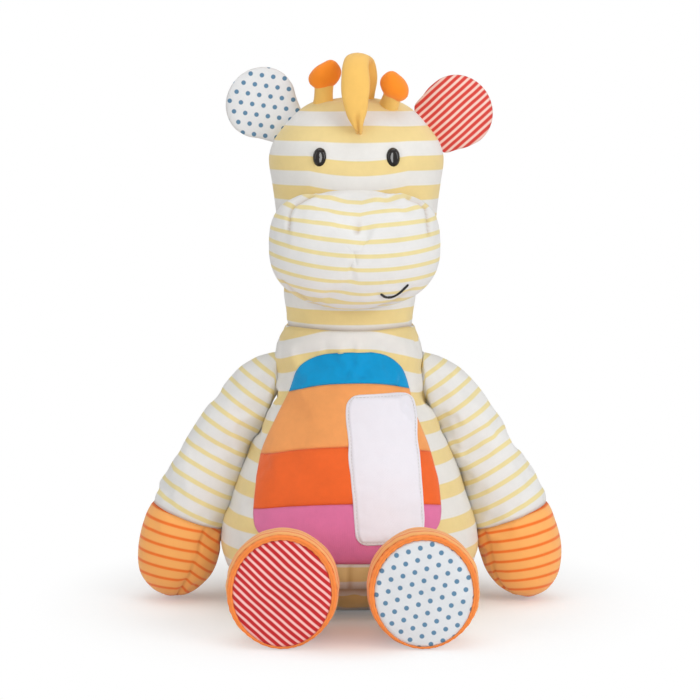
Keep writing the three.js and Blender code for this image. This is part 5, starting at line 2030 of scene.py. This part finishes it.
@dataclass
class Leg:
    """One leg with its foot: a striped leg cover, the foot's gusset, the printed sole and its thick seam."""

    side: Side
    centre_x: float = 2.0
    spacing: float = 94.8
    height: float = 27.0
    root_y: float = -80.3
    ankle_y: float = -118.0
    half_width: float = 23.0
    half_height: float = 21.5
    foot_half_width: float = 37.6
    foot_half_height: float = 39.2
    foot_length: float = 39.0
    foot_centre: float = 39.0
    sole_half_width: float = 33.2
    sole_half_height: float = 36.3
    sole_centre: float = 38.3
    piping_half_width: float = 1.9
    piping_low_share: float = 0.42
    piping_half_depth: float = 1.7
    piping_overlap: float = 0.2
    sole_gap: float = 0.3
    floor_gap: float = 0.05
    foot_stuffing: Stuffing = Stuffing(slack=0.02, cap=1.2)
    sole_stuffing: Stuffing = Stuffing(slack=0.015, cap=0.9, every=2)
    sole_steps: tuple[float, float] = (1.6, 1.8)
    piping_folds: tuple[float, int] = (0.22, 41)
    leg_lumps: Lumps = Lumps(0.5, 16, 31)
    foot_lumps: Lumps = Lumps(0.6, 15, 81)
    foot_folds: Gathers = Gathers(0.9, 5, 83, (1, 0.2, 1), reach=9)
    sole_lumps: Lumps = Lumps(0.55, 9, 87, (1, 0.1, 1))
    sole_folds: Gathers = Gathers(0.5, 4, 89, reach=5)
    foot_shares: Table = (
        (0.0, 0.5, 0.46),
        (0.03, 0.66, 0.6),
        (0.1, 0.8, 0.745),
        (0.3, 0.955, 0.965),
        (0.6, 1.0, 1.0),
        (0.88, 0.985, 0.99),
        (1.0, 0.955, 0.965),
        (1.01, 0.85, 0.86),
        (1.0, 0.05, 0.05),
    )
    sole_rows: Table = (
        (1.0, 0.04),
        (0.9, 0.5),
        (0.4, 0.93),
        (-1.0, 1.0),
        (-2.2, 0.985),
        (-3.4, 0.86),
        (-4.6, 0.55),
        (-5.0, 0.25),
        (-5.1, 0.03),
    )

    @property
    def x(self) -> float:
        """Sideways place of the leg's middle."""
        return self.centre_x + self.side.value * self.spacing / 2

    @property
    def sole_y(self) -> float:
        """Place of the sole's edge along Y."""
        return self.ankle_y - self.foot_length - self.sole_gap

    @property
    def body(self) -> str:
        """Body that the leg's pieces ride."""
        return f"leg_{self.side.label}"

    def rings(self, rows: np.ndarray, caps: tuple[float, float], step: float = FACE_STEP) -> Loft:
        """A form of ovals set along Y.

        Args:
            rows: Place along Y, height, half width and half height of each oval.
            caps: How far each end's pole stands out.
            step: Distance between points round the widest oval.

        Returns:
            The form.
        """
        centres = np.column_stack([np.full(len(rows), self.x), rows[:, 0], rows[:, 1]])
        points = ring_loft(centres, RIGHT, UP, even_sizes(rows[:, 2], rows[:, 3]), step=step)
        return Loft(points, centres[0] + BACKWARD * caps[0], centres[-1] - BACKWARD * caps[1])

    def build_leg(self, finish: Finishes) -> bpy.types.Object:
        """Makes the striped leg cover, with its root inside the torso's skin.

        Args:
            finish: The toy's finishes.

        Returns:
            The finished piece.
        """
        table = np.array(
            [
                [self.root_y + 12, self.height, 2.0, 0.6],
                [self.root_y + 11, self.height, 14.0, 3.6],
                [self.root_y + 6, self.height, 18.4, 6.2],
                [self.root_y, self.height, 19.3, 7.4],
                [lerp(self.root_y, self.ankle_y, 0.2), self.height, 21.2, 12.9],
                [lerp(self.root_y, self.ankle_y, 0.45), self.height, self.half_width, 19.4],
                [lerp(self.root_y, self.ankle_y, 0.75), self.height, self.half_width, self.half_height],
                [self.ankle_y, self.height, self.half_width, self.half_height],
                [self.ankle_y - 6, self.height, 21.0, 20.0],
                [self.ankle_y - 7, self.height, 2.0, 2.0],
            ]
        )
        loft = self.rings(even_rows(table, FACE_STEP, 4), (0.3, 0.3))
        y = loft.points[..., 1]
        loft.values["stripe"] = (self.ankle_y - y) / FINE_STRIPE
        # painted shade in the ankle seam's groove
        loft.values["seam"] = bell(y - self.ankle_y, 2.0)
        loft.push(self.leg_lumps.at(loft.points))
        made = loft.mesh(f"{self.body}_skin")
        nodes = (f"leg_cover_{self.side.label}", f"leg_filling_{self.side.label}")
        finish.striped.fit(made, None, *nodes, fill=0.8)
        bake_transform(made)
        return made

    def build_foot(self, finish: Finishes) -> bpy.types.Object:
        """Makes the foot's gusset.

        Args:
            finish: The toy's finishes.

        Returns:
            The finished piece.
        """
        table = [[self.ankle_y + 3, self.height, 2.0, 2.0], [self.ankle_y + 2, self.height, 14.0, 13.0]]
        for share, wide, high in self.foot_shares:
            level = lerp(self.height, self.foot_centre, float(smoothstep(share, 0, 0.35)))
            size = [wide * self.foot_half_width, high * self.foot_half_height]
            table.append([self.ankle_y - share * self.foot_length, level, *size])
        loft = self.rings(even_rows(np.array(table), FACE_STEP, 4), (0.2, 0.2))
        points = loft.points
        points[..., 2] = np.maximum(points[..., 2], self.floor_gap)
        front = self.ankle_y - self.foot_length
        y = points[..., 1]
        loft.values["stripe"] = (self.ankle_y - y) / HAND_STRIPE
        # painted shade at the ankle seam and along the front edge by the sole
        loft.values["seam"] = np.maximum(bell(y - self.ankle_y + 1, 2.0), 0.9 * bell(y - front, 1.8))
        folds = self.foot_folds.beside(y - front - 2, points)
        loft.push(self.foot_lumps.at(points) * smoothstep(y, front, front + 6) + folds)
        held = (y < front + 3) | (y > self.ankle_y - 3) | (points[..., 2] < 1)
        self.foot_stuffing.settle(loft, held)
        loft.points[..., 2] = np.maximum(loft.points[..., 2], self.floor_gap)
        made = loft.mesh(f"foot_{self.side.label}_skin")
        return finish.hand.fit(made, self.body, f"foot_cover_{self.side.label}", fill=0.9)

    def build_sole(self, finish: Finishes) -> bpy.types.Object:
        """Makes the printed sole, which bulges forward.

        Args:
            finish: The toy's finishes.

        Returns:
            The finished piece.
        """
        front = self.sole_y
        reach, share = np.array(self.sole_rows).T
        step, side_step = self.sole_steps
        rows = even_rows(np.column_stack([reach + front, share * self.sole_half_width, share]), step, 2)
        y, wide, share = rows.T
        level = np.full(len(rows), self.sole_centre)
        loft = self.rings(np.column_stack([y, level, wide, share * self.sole_half_height]), (0, 0.05), side_step)
        points = loft.points
        across = (points[..., 0] - self.x) / self.sole_half_width
        up = (points[..., 2] - self.sole_centre) / self.sole_half_height
        rim = smoothstep(np.hypot(across, up), 0.93, 1.0)
        # painted shade round the sole's rim, where it meets the piping
        loft.values["seam"] = 0.4 * rim
        dish = smoothstep(-rim, -0.2, 0)
        from_rim = (1 - share)[:, None] * self.sole_half_width * np.ones(points.shape[1])
        shrink = self.sole_lumps.at(points) + self.sole_folds.beside(from_rim, points)
        loft.push(shrink * np.minimum(dish + 0.25, 1) * smoothstep(-points[..., 1], -front, -front + 3.2))
        self.sole_stuffing.settle(loft, (rim > 0.3) | (points[..., 1] > front - 2))
        made = loft.mesh(f"sole_{self.side.label}_skin")
        look = finish.red_sole if self.side is Side.LEFT else finish.dotted_sole
        return look.fit(made, self.body, f"sole_{self.side.label}", fill=0.7)

    def build_piping(self, finish: Finishes) -> bpy.types.Object:
        """Makes the thick seam round the sole.

        Args:
            finish: The toy's finishes.

        Returns:
            The finished piece.
        """
        front = self.sole_y - self.piping_half_depth
        beyond = self.piping_half_width - self.piping_overlap
        across, up = self.sole_half_width + beyond, self.sole_half_height + beyond
        count, sides = 150, 16
        angle = np.arange(count) / count * 2 * math.pi
        about = np.arange(sides) / sides * 2 * math.pi
        split = bell(about - 1.5 * math.pi, 0.3)
        height, folds = self.piping_folds
        fold = 1 + height * np.sin(angle * folds + 1.5 * np.sin(angle * 5))[:, None]
        wide = self.piping_half_width * lerp(self.piping_low_share, 1, smoothstep(np.sin(angle), -1, -0.2))[:, None]
        out = wide * (1 + np.cos(about) * lerp(1, fold, 0.6)) - self.piping_half_width
        x = self.x + (across + out) * np.cos(angle)[:, None]
        z = self.sole_centre + (up + out) * np.sin(angle)[:, None]
        y = front + self.piping_half_depth * (1 - 0.3 * split) * np.sin(about) * fold
        points = np.stack([x, y, np.maximum(z, self.floor_gap)], axis=-1)
        made = hoop_object(f"foot_piping_{self.side.label}_skin", points)
        # painted shade along the groove between the piping and the gusset
        put_values(made, "seam", np.tile(0.6 * split, count))
        return finish.ring.fit(made, self.body, f"foot_piping_{self.side.label}")

    def build(self, finish: Finishes) -> list[bpy.types.Object]:
        """Makes the leg's four pieces."""
        return [self.build_leg(finish), self.build_foot(finish), self.build_sole(finish), self.build_piping(finish)]


def hoop_object(name: str, points: np.ndarray) -> bpy.types.Object:
    """A closed ring with a round section.

    Args:
        name: Name of the piece.
        points: Sections in the first axis, and the points round each in the second.

    Returns:
        The new object.
    """
    rows, sides = points.shape[:2]
    row, side = np.meshgrid(np.arange(rows), np.arange(sides), indexing="ij")
    after_row, after_side = (row + 1) % rows, (side + 1) % sides
    here, ahead = row * sides, after_row * sides
    quads = np.stack([here + side, here + after_side, ahead + after_side, ahead + side], axis=-1).reshape(-1, 4)
    places = points.reshape(-1, 3)
    if signed_volume(places, quads, np.zeros((0, 3), int)) < 0:
        quads = quads[:, ::-1]
    made = mesh_object(name, places, quads.tolist())
    steps = np.stack([row, row, row + 1, row + 1], axis=-1) * np.linalg.norm(points[1, 0] - points[0, 0])
    turns = np.stack([side, side + 1, side + 1, side], axis=-1) * np.linalg.norm(points[0, 1] - points[0, 0])
    flat = np.stack([steps, turns], axis=-1).reshape(-1, 4, 2)
    flat = flat if quads[0, 0] == 0 else flat[:, ::-1]
    map_cloth(made, flat)
    return made


def tube_loft(path: np.ndarray, half_width: float | np.ndarray, half_thickness: float, step: float = 1.6) -> Loft:
    """A flattened tube along a path, wide across the toy.

    Args:
        path: Rows of points.
        half_width: Half width at each point, or one for all.
        half_thickness: Half thickness.
        step: Distance between the new points.

    Returns:
        The form, closed by a pole at each end.
    """
    wide, thick = (np.broadcast_to(half, len(path)) for half in (half_width, half_thickness))
    rows = even_rows(np.column_stack([path, wide, thick]), step, 3)
    centres = rows[:, :3]
    along = unit(np.gradient(centres, axis=0))
    across = unit(RIGHT - along * (along @ RIGHT)[:, None])
    points = ring_loft(centres, across, np.cross(along, across), even_sizes(rows[:, 3], rows[:, 4]), step=step)
    return Loft(points, centres[0] - along[0] * rows[0, 4] * 0.3, centres[-1] + along[-1] * rows[-1, 4] * 0.3)


@dataclass
class Ear:
    """One ear: a printed front and a jersey back, sewn to the head's corner."""

    side: Side
    head: Head
    rise_share: float
    lean: float
    root_share: float
    length: float = 47.0
    half_width: float = 26.4
    half_thickness: float = 4.2
    root_half_thickness: float = 2.2
    edge_half_thickness: float = 1.2
    root_gap: float = 0.45
    split: float = 0.06
    step: float = 1.3

    def frame(self) -> tuple[np.ndarray, np.ndarray, np.ndarray]:
        """Middle of the ear's seam, the way out and the way along the seam.

        Returns:
            A place in millimetres and two directions.
        """
        centre, half, _, _ = self.head.sizes_at(self.rise_share)[0]
        turn = self.side.value
        lean = math.radians(self.lean)
        out = np.array([turn * math.sin(lean), 0, math.cos(lean)])
        surface = np.array([centre + turn * half, 0, self.head.foot + self.rise_share * self.head.height])
        return surface + out * (self.root_half_thickness + self.root_gap), out, np.cross(BACKWARD, out)

    def build_half(self, front: bool, finish: Finishes) -> bpy.types.Object:
        """Makes the printed front or the plain back.

        Args:
            front: Whether it is the printed half.
            finish: The toy's finishes.

        Returns:
            The finished piece.
        """
        root, out, along = self.frame()
        narrow = self.half_width * self.root_share
        table = [
            [-5.0, narrow * 0.1, 0.4],
            [-4.6, narrow * 0.7, 1.2],
            [-2.2, narrow * 0.93, 2.0],
            [0.0, narrow, self.root_half_thickness],
            [0.14 * self.length, lerp(narrow, self.half_width, 0.35), 3.3],
            [0.3 * self.length, lerp(narrow, self.half_width, 0.82), 4.1],
            [0.48 * self.length, self.half_width, self.half_thickness],
        ]
        for angle in np.linspace(0.12, math.pi / 2 - 0.02, 12):
            reach = lerp(0.48 * self.length, self.length, math.sin(angle))
            thick = lerp(self.edge_half_thickness, self.half_thickness, math.cos(angle))
            table.append([reach, self.half_width * math.cos(angle), thick])
        rows = even_rows(np.array(table), self.step, 2)
        centres = root + out * rows[:, :1]
        points = ring_loft(centres, along, BACKWARD, even_sizes(rows[:, 1], rows[:, 2]), step=self.step)
        y = points[..., 1]
        points[..., 1] = np.minimum(y, -self.split) if front else np.maximum(y, self.split)
        pole_y = BACKWARD * (-self.split if front else self.split)
        loft = Loft(points, centres[0] - out * 0.2 + pole_y, centres[-1] + out * 0.1 + pole_y)
        loft.values["stripe"] = (points - root) @ out / FINE_STRIPE
        # painted shade along the edge seam between the front and the back
        loft.values["seam"] = np.exp(-np.abs(y) / 0.7)
        word = "front" if front else "back"
        made = loft.mesh(f"ear_{word}_{self.side.label}_skin")
        printed = finish.dotted_ear if self.side is Side.LEFT else finish.red_ear
        look = printed if front else finish.striped
        return look.fit(made, f"ear_{self.side.label}", f"ear_{word}_{self.side.label}", fill=0.4)

    def build(self, finish: Finishes) -> list[bpy.types.Object]:
        """Makes both halves."""
        return [self.build_half(True, finish), self.build_half(False, finish)]


@dataclass
class Horn:
    """One horn: a golden stalk with a fat orange tip."""

    side: Side
    head: Head
    across_share: float
    forward_share: float
    lean: float
    tilt: float
    bean: tuple[float, float, float] = (12.3, 9.4, 9.6)
    bean_turn: float = 30.0
    bean_shift: tuple[float, float] = (0.0, 0.0)
    corner_side: float = 1.0
    corner_height: float = 1.3
    corner_reach: float = 0.12
    tip_shrink: float = 0.3
    tip_step: float = 1.1
    stalk_step: float = 1.3
    stalk_ends: tuple[float, float] = (-7.2, 15.2)
    lumps: Lumps = Lumps(0.6, 7, 51)
    stalk_length: float = 14.0
    tip_half_height: float = 9.8
    tip_overlap: float = 3.0
    stalk: Table = (
        (-7, 1.0),
        (-6.5, 6.4),
        (-1, 7.4),
        (2, 6.9),
        (8, 6.6),
        (12, 6.9),
        (14.5, 6.2),
        (15, 1.0),
    )

    def frame(self) -> tuple[np.ndarray, np.ndarray]:
        """Foot of the stalk on the crown and the way that it stands.

        Returns:
            A place in millimetres and a direction.
        """
        x = self.head.offset + self.across_share * self.head.half_width
        base = self.head.crown_at(x, -self.forward_share * self.head.front_depth)
        lean, tilt = math.radians(self.lean), math.radians(self.tilt)
        up = np.array([0, -math.sin(tilt), math.cos(tilt)])
        up = np.array([up[2] * math.sin(lean), up[1], up[2] * math.cos(lean)])
        return base, up

    def build(self, finish: Finishes) -> list[bpy.types.Object]:
        """Makes the stalk and the tip.

        Args:
            finish: The toy's finishes.

        Returns:
            The finished pieces.
        """
        base, up = self.frame()
        across = unit(np.cross(BACKWARD, up))
        deep = np.cross(up, across)
        rows = even_rows(np.array(self.stalk), self.stalk_step, 2)
        sizes = even_sizes(rows[:, 1], rows[:, 1])
        rings = ring_loft(base + up * rows[:, :1], across, deep, sizes, step=self.stalk_step)
        ends = (base + up * end for end in self.stalk_ends)
        stalk = Loft(rings, *ends).mesh(f"horn_stalk_{self.side.label}_skin")
        turn = math.radians(self.bean_turn)
        long = across * math.cos(turn) + up * math.sin(turn)
        thin = up * math.cos(turn) - across * math.sin(turn)
        angle = np.linspace(0.06, math.pi - 0.06, 24)
        half, wide, deep_half = self.bean
        oval = np.column_stack([-np.cos(angle) * half, np.sin(angle) ** 0.9 * wide])
        rows = even_rows(oval, self.tip_step, 2)
        sizes = even_sizes(rows[:, 1], rows[:, 1] * deep_half / wide)
        rise = self.stalk_length - self.tip_overlap + self.tip_half_height + self.bean_shift[1]
        centre = base + up * rise + across * self.bean_shift[0]
        rings = ring_loft(centre + long * rows[:, :1], -thin, deep, sizes, 2.2, step=self.tip_step)
        tip = Loft(rings, centre - long * half, centre + long * half)
        spoke = unit(tip.points - centre)
        corner = long * 0.8 + thin * 0.6 * self.corner_side
        # painted shade on the tip's underside, where it sits on the stalk
        tip.values["seam"] = 0.8 * bell(np.linalg.norm(tip.points - centre + up * 9, axis=-1), 5)
        corner_push = self.corner_height * np.exp(-((1 - spoke @ corner) / self.corner_reach))
        tip.push(corner_push + self.lumps.at(tip.points) - self.tip_shrink)
        return [
            finish.golden.fit(stalk, "head", f"horn_stalk_{self.side.label}", fill=0.9),
            finish.bright.fit(
                tip.mesh(f"horn_tip_{self.side.label}_skin"), "head", f"horn_tip_{self.side.label}", fill=0.9
            ),
        ]


@dataclass
class Mane:
    """The golden loop over the forehead and the smaller ones down the back of the head."""

    head: Head
    lock_half_width: float = 9.6
    lock_half_thickness: float = 4.0
    loop_half_width: float = 8.0
    loop_half_thickness: float = 3.4
    loop_reach: float = 21.0
    loop_spread: float = 8.5
    loop_sink: float = 6.0
    lock_lumps: Lumps = Lumps(0.8, 15, 61)
    crease_depth: float = 2.0
    lock: Table = (
        (0.03, 0.76, 0.82, 0.3),
        (0.022, 0.9, 0.848, 0.34),
        (0.0, 0.945, 0.915, 0.74),
        (-0.015, 0.89, 1.02, 1.0),
        (-0.01, 0.78, 1.13, 1.0),
        (0.02, 0.556, 1.197, 0.92),
        (0.08, 0.315, 1.18, 0.85),
        (0.135, 0.185, 1.1, 0.7),
        (0.13, 0.15, 1.01, 0.5),
        (0.115, 0.13, 0.93, 0.4),
    )
    loop: Table = (
        (0.7, 0.0),
        (1.0, 0.4),
        (0.75, 0.85),
        (0.0, 1.0),
        (-0.75, 0.85),
        (-1.0, 0.4),
        (-0.7, 0.0),
    )
    loops: tuple[tuple[str, float], ...] = (
        ("mane_loop_top", 0.965),
        ("mane_loop_middle", 0.81),
        ("mane_loop_low", 0.59),
    )

    def build(self, finish: Finishes) -> list[bpy.types.Object]:
        """Makes the forelock and the loops.

        Args:
            finish: The toy's finishes.

        Returns:
            The finished pieces.
        """
        head = self.head
        shares = np.array(self.lock)
        path = np.column_stack(
            [
                head.offset + shares[:, 0] * head.half_width,
                -shares[:, 1] * head.front_depth,
                head.foot + shares[:, 2] * head.height,
            ]
        )
        lock = tube_loft(path, shares[:, 3] * self.lock_half_width, self.lock_half_thickness)
        x, y, z = xyz(lock.points)
        share = (z - z.min()) / (z.max() - z.min())
        front = smoothstep(-y, 0.62 * head.front_depth, 0.8 * head.front_depth)
        middle = path[0, 0] - 0.6 - 2.2 * share
        crease = bell(x - middle, 1.5) * front * smoothstep(-share, -0.34, -0.2)
        # painted shade in the forelock's crease
        lock.values["seam"] = 0.9 * crease
        lock.push(self.lock_lumps.at(lock.points) - self.crease_depth * crease)
        lofts = {"forelock": lock}
        for node, rise in self.loops:
            step = self.loop_spread / head.height / 2
            low, here, high = (
                np.array([head.offset, head.sizes_at(share)[0, 3], head.foot + share * head.height])
                for share in (rise - step, rise, rise + step)
            )
            along = unit(high - low)
            out = np.cross(along, RIGHT)
            table = np.array(self.loop)
            reach = lerp(-self.loop_sink, self.loop_reach, table[:, 1:])
            path = here + along * table[:, :1] * self.loop_spread + out * reach
            lofts[node] = tube_loft(path, self.loop_half_width, self.loop_half_thickness)
        return [
            finish.golden.fit(loft.mesh(f"{node}_skin"), "head", node, fill=0.6) for node, loft in lofts.items()
        ]


@dataclass
class Tail:
    """The short tail with its tuft, low on the torso's back."""

    torso: Torso
    height: float = 44.0
    radius: float = 4.0
    reach: float = 24.0
    drop: float = 17.0
    bend_share: float = 0.6
    root_gap: float = 0.4
    tuft_half_width: float = 7.5
    tuft_half_length: float = 12.5
    tuft_step: float = 1.2
    root_depths: tuple[float, float] = (5.0, 1.0)

    def build(self, finish: Finishes) -> list[bpy.types.Object]:
        """Makes the tail and the tuft.

        Args:
            finish: The toy's finishes.

        Returns:
            The finished pieces.
        """
        seam = np.array([0, float(self.torso.sizes_at(self.height)[0, 2]) + self.root_gap, self.height])
        root = seam + BACKWARD * self.radius
        end = root + np.array([0, self.reach, -self.drop])
        bend = root + BACKWARD * self.reach * self.bend_share
        t = np.linspace(0, 1, 9)[:, None]
        path = root * (1 - t) ** 2 + bend * 2 * t * (1 - t) + end * t**2
        path = np.concatenate([[seam - BACKWARD * depth for depth in self.root_depths], path])
        tail = tube_loft(path, self.radius, self.radius).mesh("tail_skin")
        down = unit(end - bend)
        centre = end + down * (self.tuft_half_length - self.radius)
        angle = np.linspace(0.08, math.pi - 0.08, 20)
        fat = np.column_stack([-np.cos(angle) * self.tuft_half_length, np.sin(angle) * self.tuft_half_width])
        rows = even_rows(fat, self.tuft_step, 2)
        sizes = even_sizes(rows[:, 1], rows[:, 1])
        rings = ring_loft(centre + down * rows[:, :1], RIGHT, np.cross(down, RIGHT), sizes, step=self.tuft_step)
        half = down * self.tuft_half_length
        tuft = Loft(rings, centre - half, centre + half).mesh("tail_tuft_skin")
        return [
            finish.golden.fit(tail, "tail", "tail", fill=0.7),
            finish.bright.fit(tuft, "tail", "tail_tuft", fill=0.7),
        ]


@dataclass
class Patch:
    """The bare padded patch of white cloth on the tummy, with its turned and stitched edge."""

    low: float = 56.2
    high: float = 158.6
    half_width: float = 24.0
    corner: float = 7.5
    thickness: float = 1.6
    lift: float = 1.5
    border_lift: float = 0.5
    hidden_drop: float = 0.3
    stitch_depth: float = 0.7
    stitch_reach: float = 0.92
    edge_run: Stitching = Stitching("patch_stitches", thickness=0.5, length=2.0, spacing=2.6)
    side_ripple: Lumps = Lumps(0.5, 13, 91)
    end_ripple: Lumps = Lumps(0.4, 11, 92)
    long_creases: Lumps = Lumps(0.45, 8, 95, (0.35, 1, 1))
    small_creases: Lumps = Lumps(0.3, 6, 96)
    folds: Gathers = Gathers(0.5, 4, 97, reach=4)
    stitch_inset: float = 1.9
    outline: Table = (
        (56.2, 4.6, 52.2),
        (66.0, 3.8, 51.6),
        (84.0, 2.2, 50.4),
        (102.0, 0.4, 49.2),
        (125.0, -1.4, 47.4),
        (148.0, -3.2, 45.8),
        (158.6, -1.4, 42.6),
    )

    def places(self, across: np.ndarray, up: np.ndarray) -> tuple[np.ndarray, np.ndarray]:
        """X and Z of spots on the patch, with its corners rounded.

        Args:
            across: Shares of its half width, from -1 to 1.
            up: Shares of its height, from 0 to 1.

        Returns:
            Distances across and heights.
        """
        z = lerp(self.low, self.high, up)
        left, right = smooth_rows(np.array(self.outline), z.ravel()).T.reshape(2, *z.shape)
        inset = self.corner - np.minimum(np.minimum(z - self.low, self.high - z), self.corner)
        round_off = self.corner - np.sqrt(np.maximum(self.corner**2 - inset**2, 0))
        x = (left + right) / 2 + across * ((right - left) / 2 - round_off)
        spots = np.stack([x, z * 0, z], axis=-1)
        ripple = self.side_ripple.at(spots) * np.clip(np.abs(across), 0, 1) ** 4
        return x + ripple, z + 0.2 * across + self.end_ripple.at(spots)

    def lifted(self, torso: Torso, x: np.ndarray, z: np.ndarray, lift: np.ndarray) -> np.ndarray:
        """Places at a height above the torso's front."""
        front = torso.front_at(x, z)
        return front + torso.outward(front) * lift[..., None]

    def build(self, torso: Torso, finish: Finishes) -> list[bpy.types.Object]:
        """Makes the patch and the stitches round its edge.

        Args:
            torso: The torso under it.
            finish: The toy's finishes.

        Returns:
            The finished pieces.
        """
        across, up = np.meshgrid(crowded(60, 0.5), (crowded(110, 0.35) + 1) / 2)
        x, z = self.places(across, up)
        edge = np.minimum((1 - np.abs(across)) * self.half_width, np.minimum(up, 1 - up) * (self.high - self.low))
        stitch = bell(edge - self.stitch_inset, 0.7)
        puff = 1 - np.exp(-edge / 1.3)
        spots = np.stack([x, z * 0, z], axis=-1)
        creases = self.long_creases.at(spots) + self.small_creases.at(spots)
        creases = creases + self.folds.beside(edge - self.stitch_inset, spots)
        border = self.lift + self.border_lift
        height = border + self.thickness * puff - self.stitch_depth * stitch + creases * puff
        outer = self.lifted(torso, x, z, height)
        inner = self.lifted(torso, x, z, np.full(x.shape, self.lift - self.hidden_drop))
        made = sheet_shell("chest_patch_skin", outer, inner)
        # painted shade in the groove along the stitched edge
        put_values(made, "seam", np.concatenate([(0.5 * stitch).ravel(), np.zeros(stitch.size)]))
        inset, reach = self.stitch_inset / (self.high - self.low), self.stitch_reach
        wide, tall = np.linspace(-reach, reach, 40), np.linspace(inset, 1 - inset, 90)
        across = np.concatenate([wide, 0 * tall + reach, wide[::-1], 0 * tall - reach])
        up = np.concatenate([0 * wide + inset, tall, 0 * wide + 1 - inset, tall[::-1]])
        x, z = self.places(across, up)
        path = self.lifted(torso, x, z, np.full(x.shape, border + 0.45 * self.thickness))
        return [
            finish.white.fit(made, "torso", "chest_patch", fill=0.6),
            finish.stitch.fit(self.edge_run.sew([path], finish.stitch.look), "torso"),
        ]


@dataclass
class Eyes:
    """Glossy oval eyes that look the way the face turns."""

    head: Head
    half_width: float = 5.0
    half_height: float = 6.9
    dome_height: float = 3.61
    seat_gap: float = 0.3
    steps: tuple[float, float] = (0.45, 0.7)
    spacing: float = 51.2
    rise: float = 93.0
    dome: Table = (
        (-1.6, 0.1),
        (-1.5, 0.85),
        (-0.4, 0.98),
        (0.5, 1.0),
        (0.9, 0.98),
        (1.5, 0.94),
        (2.2, 0.88),
        (2.95, 0.78),
        (3.4, 0.64),
        (3.55, 0.45),
        (3.59, 0.25),
        (3.6, 0.1),
        (3.605, 0.03),
    )

    def build_eye(self, side: Side, finish: Finishes) -> bpy.types.Object:
        """Makes one eye.

        Args:
            side: Which eye.
            finish: The toy's finishes.

        Returns:
            The finished piece.
        """
        x = self.head.offset + side.value * self.spacing / 2
        place = self.head.face_at(x, self.rise)
        out = unit(0.05 * UP - BACKWARD)
        across = unit(np.cross(UP, out))
        seat = place + out * self.seat_gap
        rise, share = np.array(self.dome).T
        step, side_step = self.steps
        rows = even_rows(np.column_stack([rise, share * self.half_width, share]), step, 2)
        sizes = even_sizes(rows[:, 1], rows[:, 2] * self.half_height)
        points = ring_loft(seat + out * rows[:, :1], across, np.cross(out, across), sizes, step=side_step)
        made = Loft(points, seat + out * rise[0], seat + out * self.dome_height).mesh(f"eye_{side.label}_dome")
        return finish.eye.fit(made, "head", f"eye_{side.label}")

    def build(self, finish: Finishes) -> list[bpy.types.Object]:
        """Makes both eyes."""
        return [self.build_eye(side, finish) for side in Side]


def main() -> None:
    """Builds the toy in order, and reports each piece."""
    logging.basicConfig(level=logging.INFO, format="%(message)s")
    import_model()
    finish = Finishes()
    torso = Torso()
    pieces = [torso.build(finish)]
    pieces += Tummy().build(torso, finish)
    pieces += Patch().build(torso, finish)
    pieces.append(Neck().build(finish))
    head = Head()
    pieces.append(head.build(finish))
    muzzle = Muzzle()
    pieces += [muzzle.build(finish), muzzle.sew_smile(finish)]
    pieces += Eyes(head).build(finish)
    left = Horn(Side.LEFT, head, -0.38, 0.22, 2, 4, bean_turn=32, bean_shift=(0.5, -2.0))
    right = Horn(Side.RIGHT, head, 0.37, 0.4, 20, 36, (11.4, 8.6, 9.0), 152, (-0.8, -3.2), -1)
    pieces += left.build(finish) + right.build(finish)
    pieces += Ear(Side.LEFT, head, 0.845, 48, 0.63).build(finish)
    pieces += Ear(Side.RIGHT, head, 0.825, 57, 0.8).build(finish)
    pieces += Mane(head).build(finish)
    for side in Side:
        pieces += Arm(side, torso).build(finish)
        pieces += Leg(side).build(finish)
    pieces += Tail(torso).build(finish)
    for piece in pieces:
        log.info("%s: %d faces", piece.name, len(piece.data.polygons))
    Studio().build()


if __name__ == "__main__":
    main()
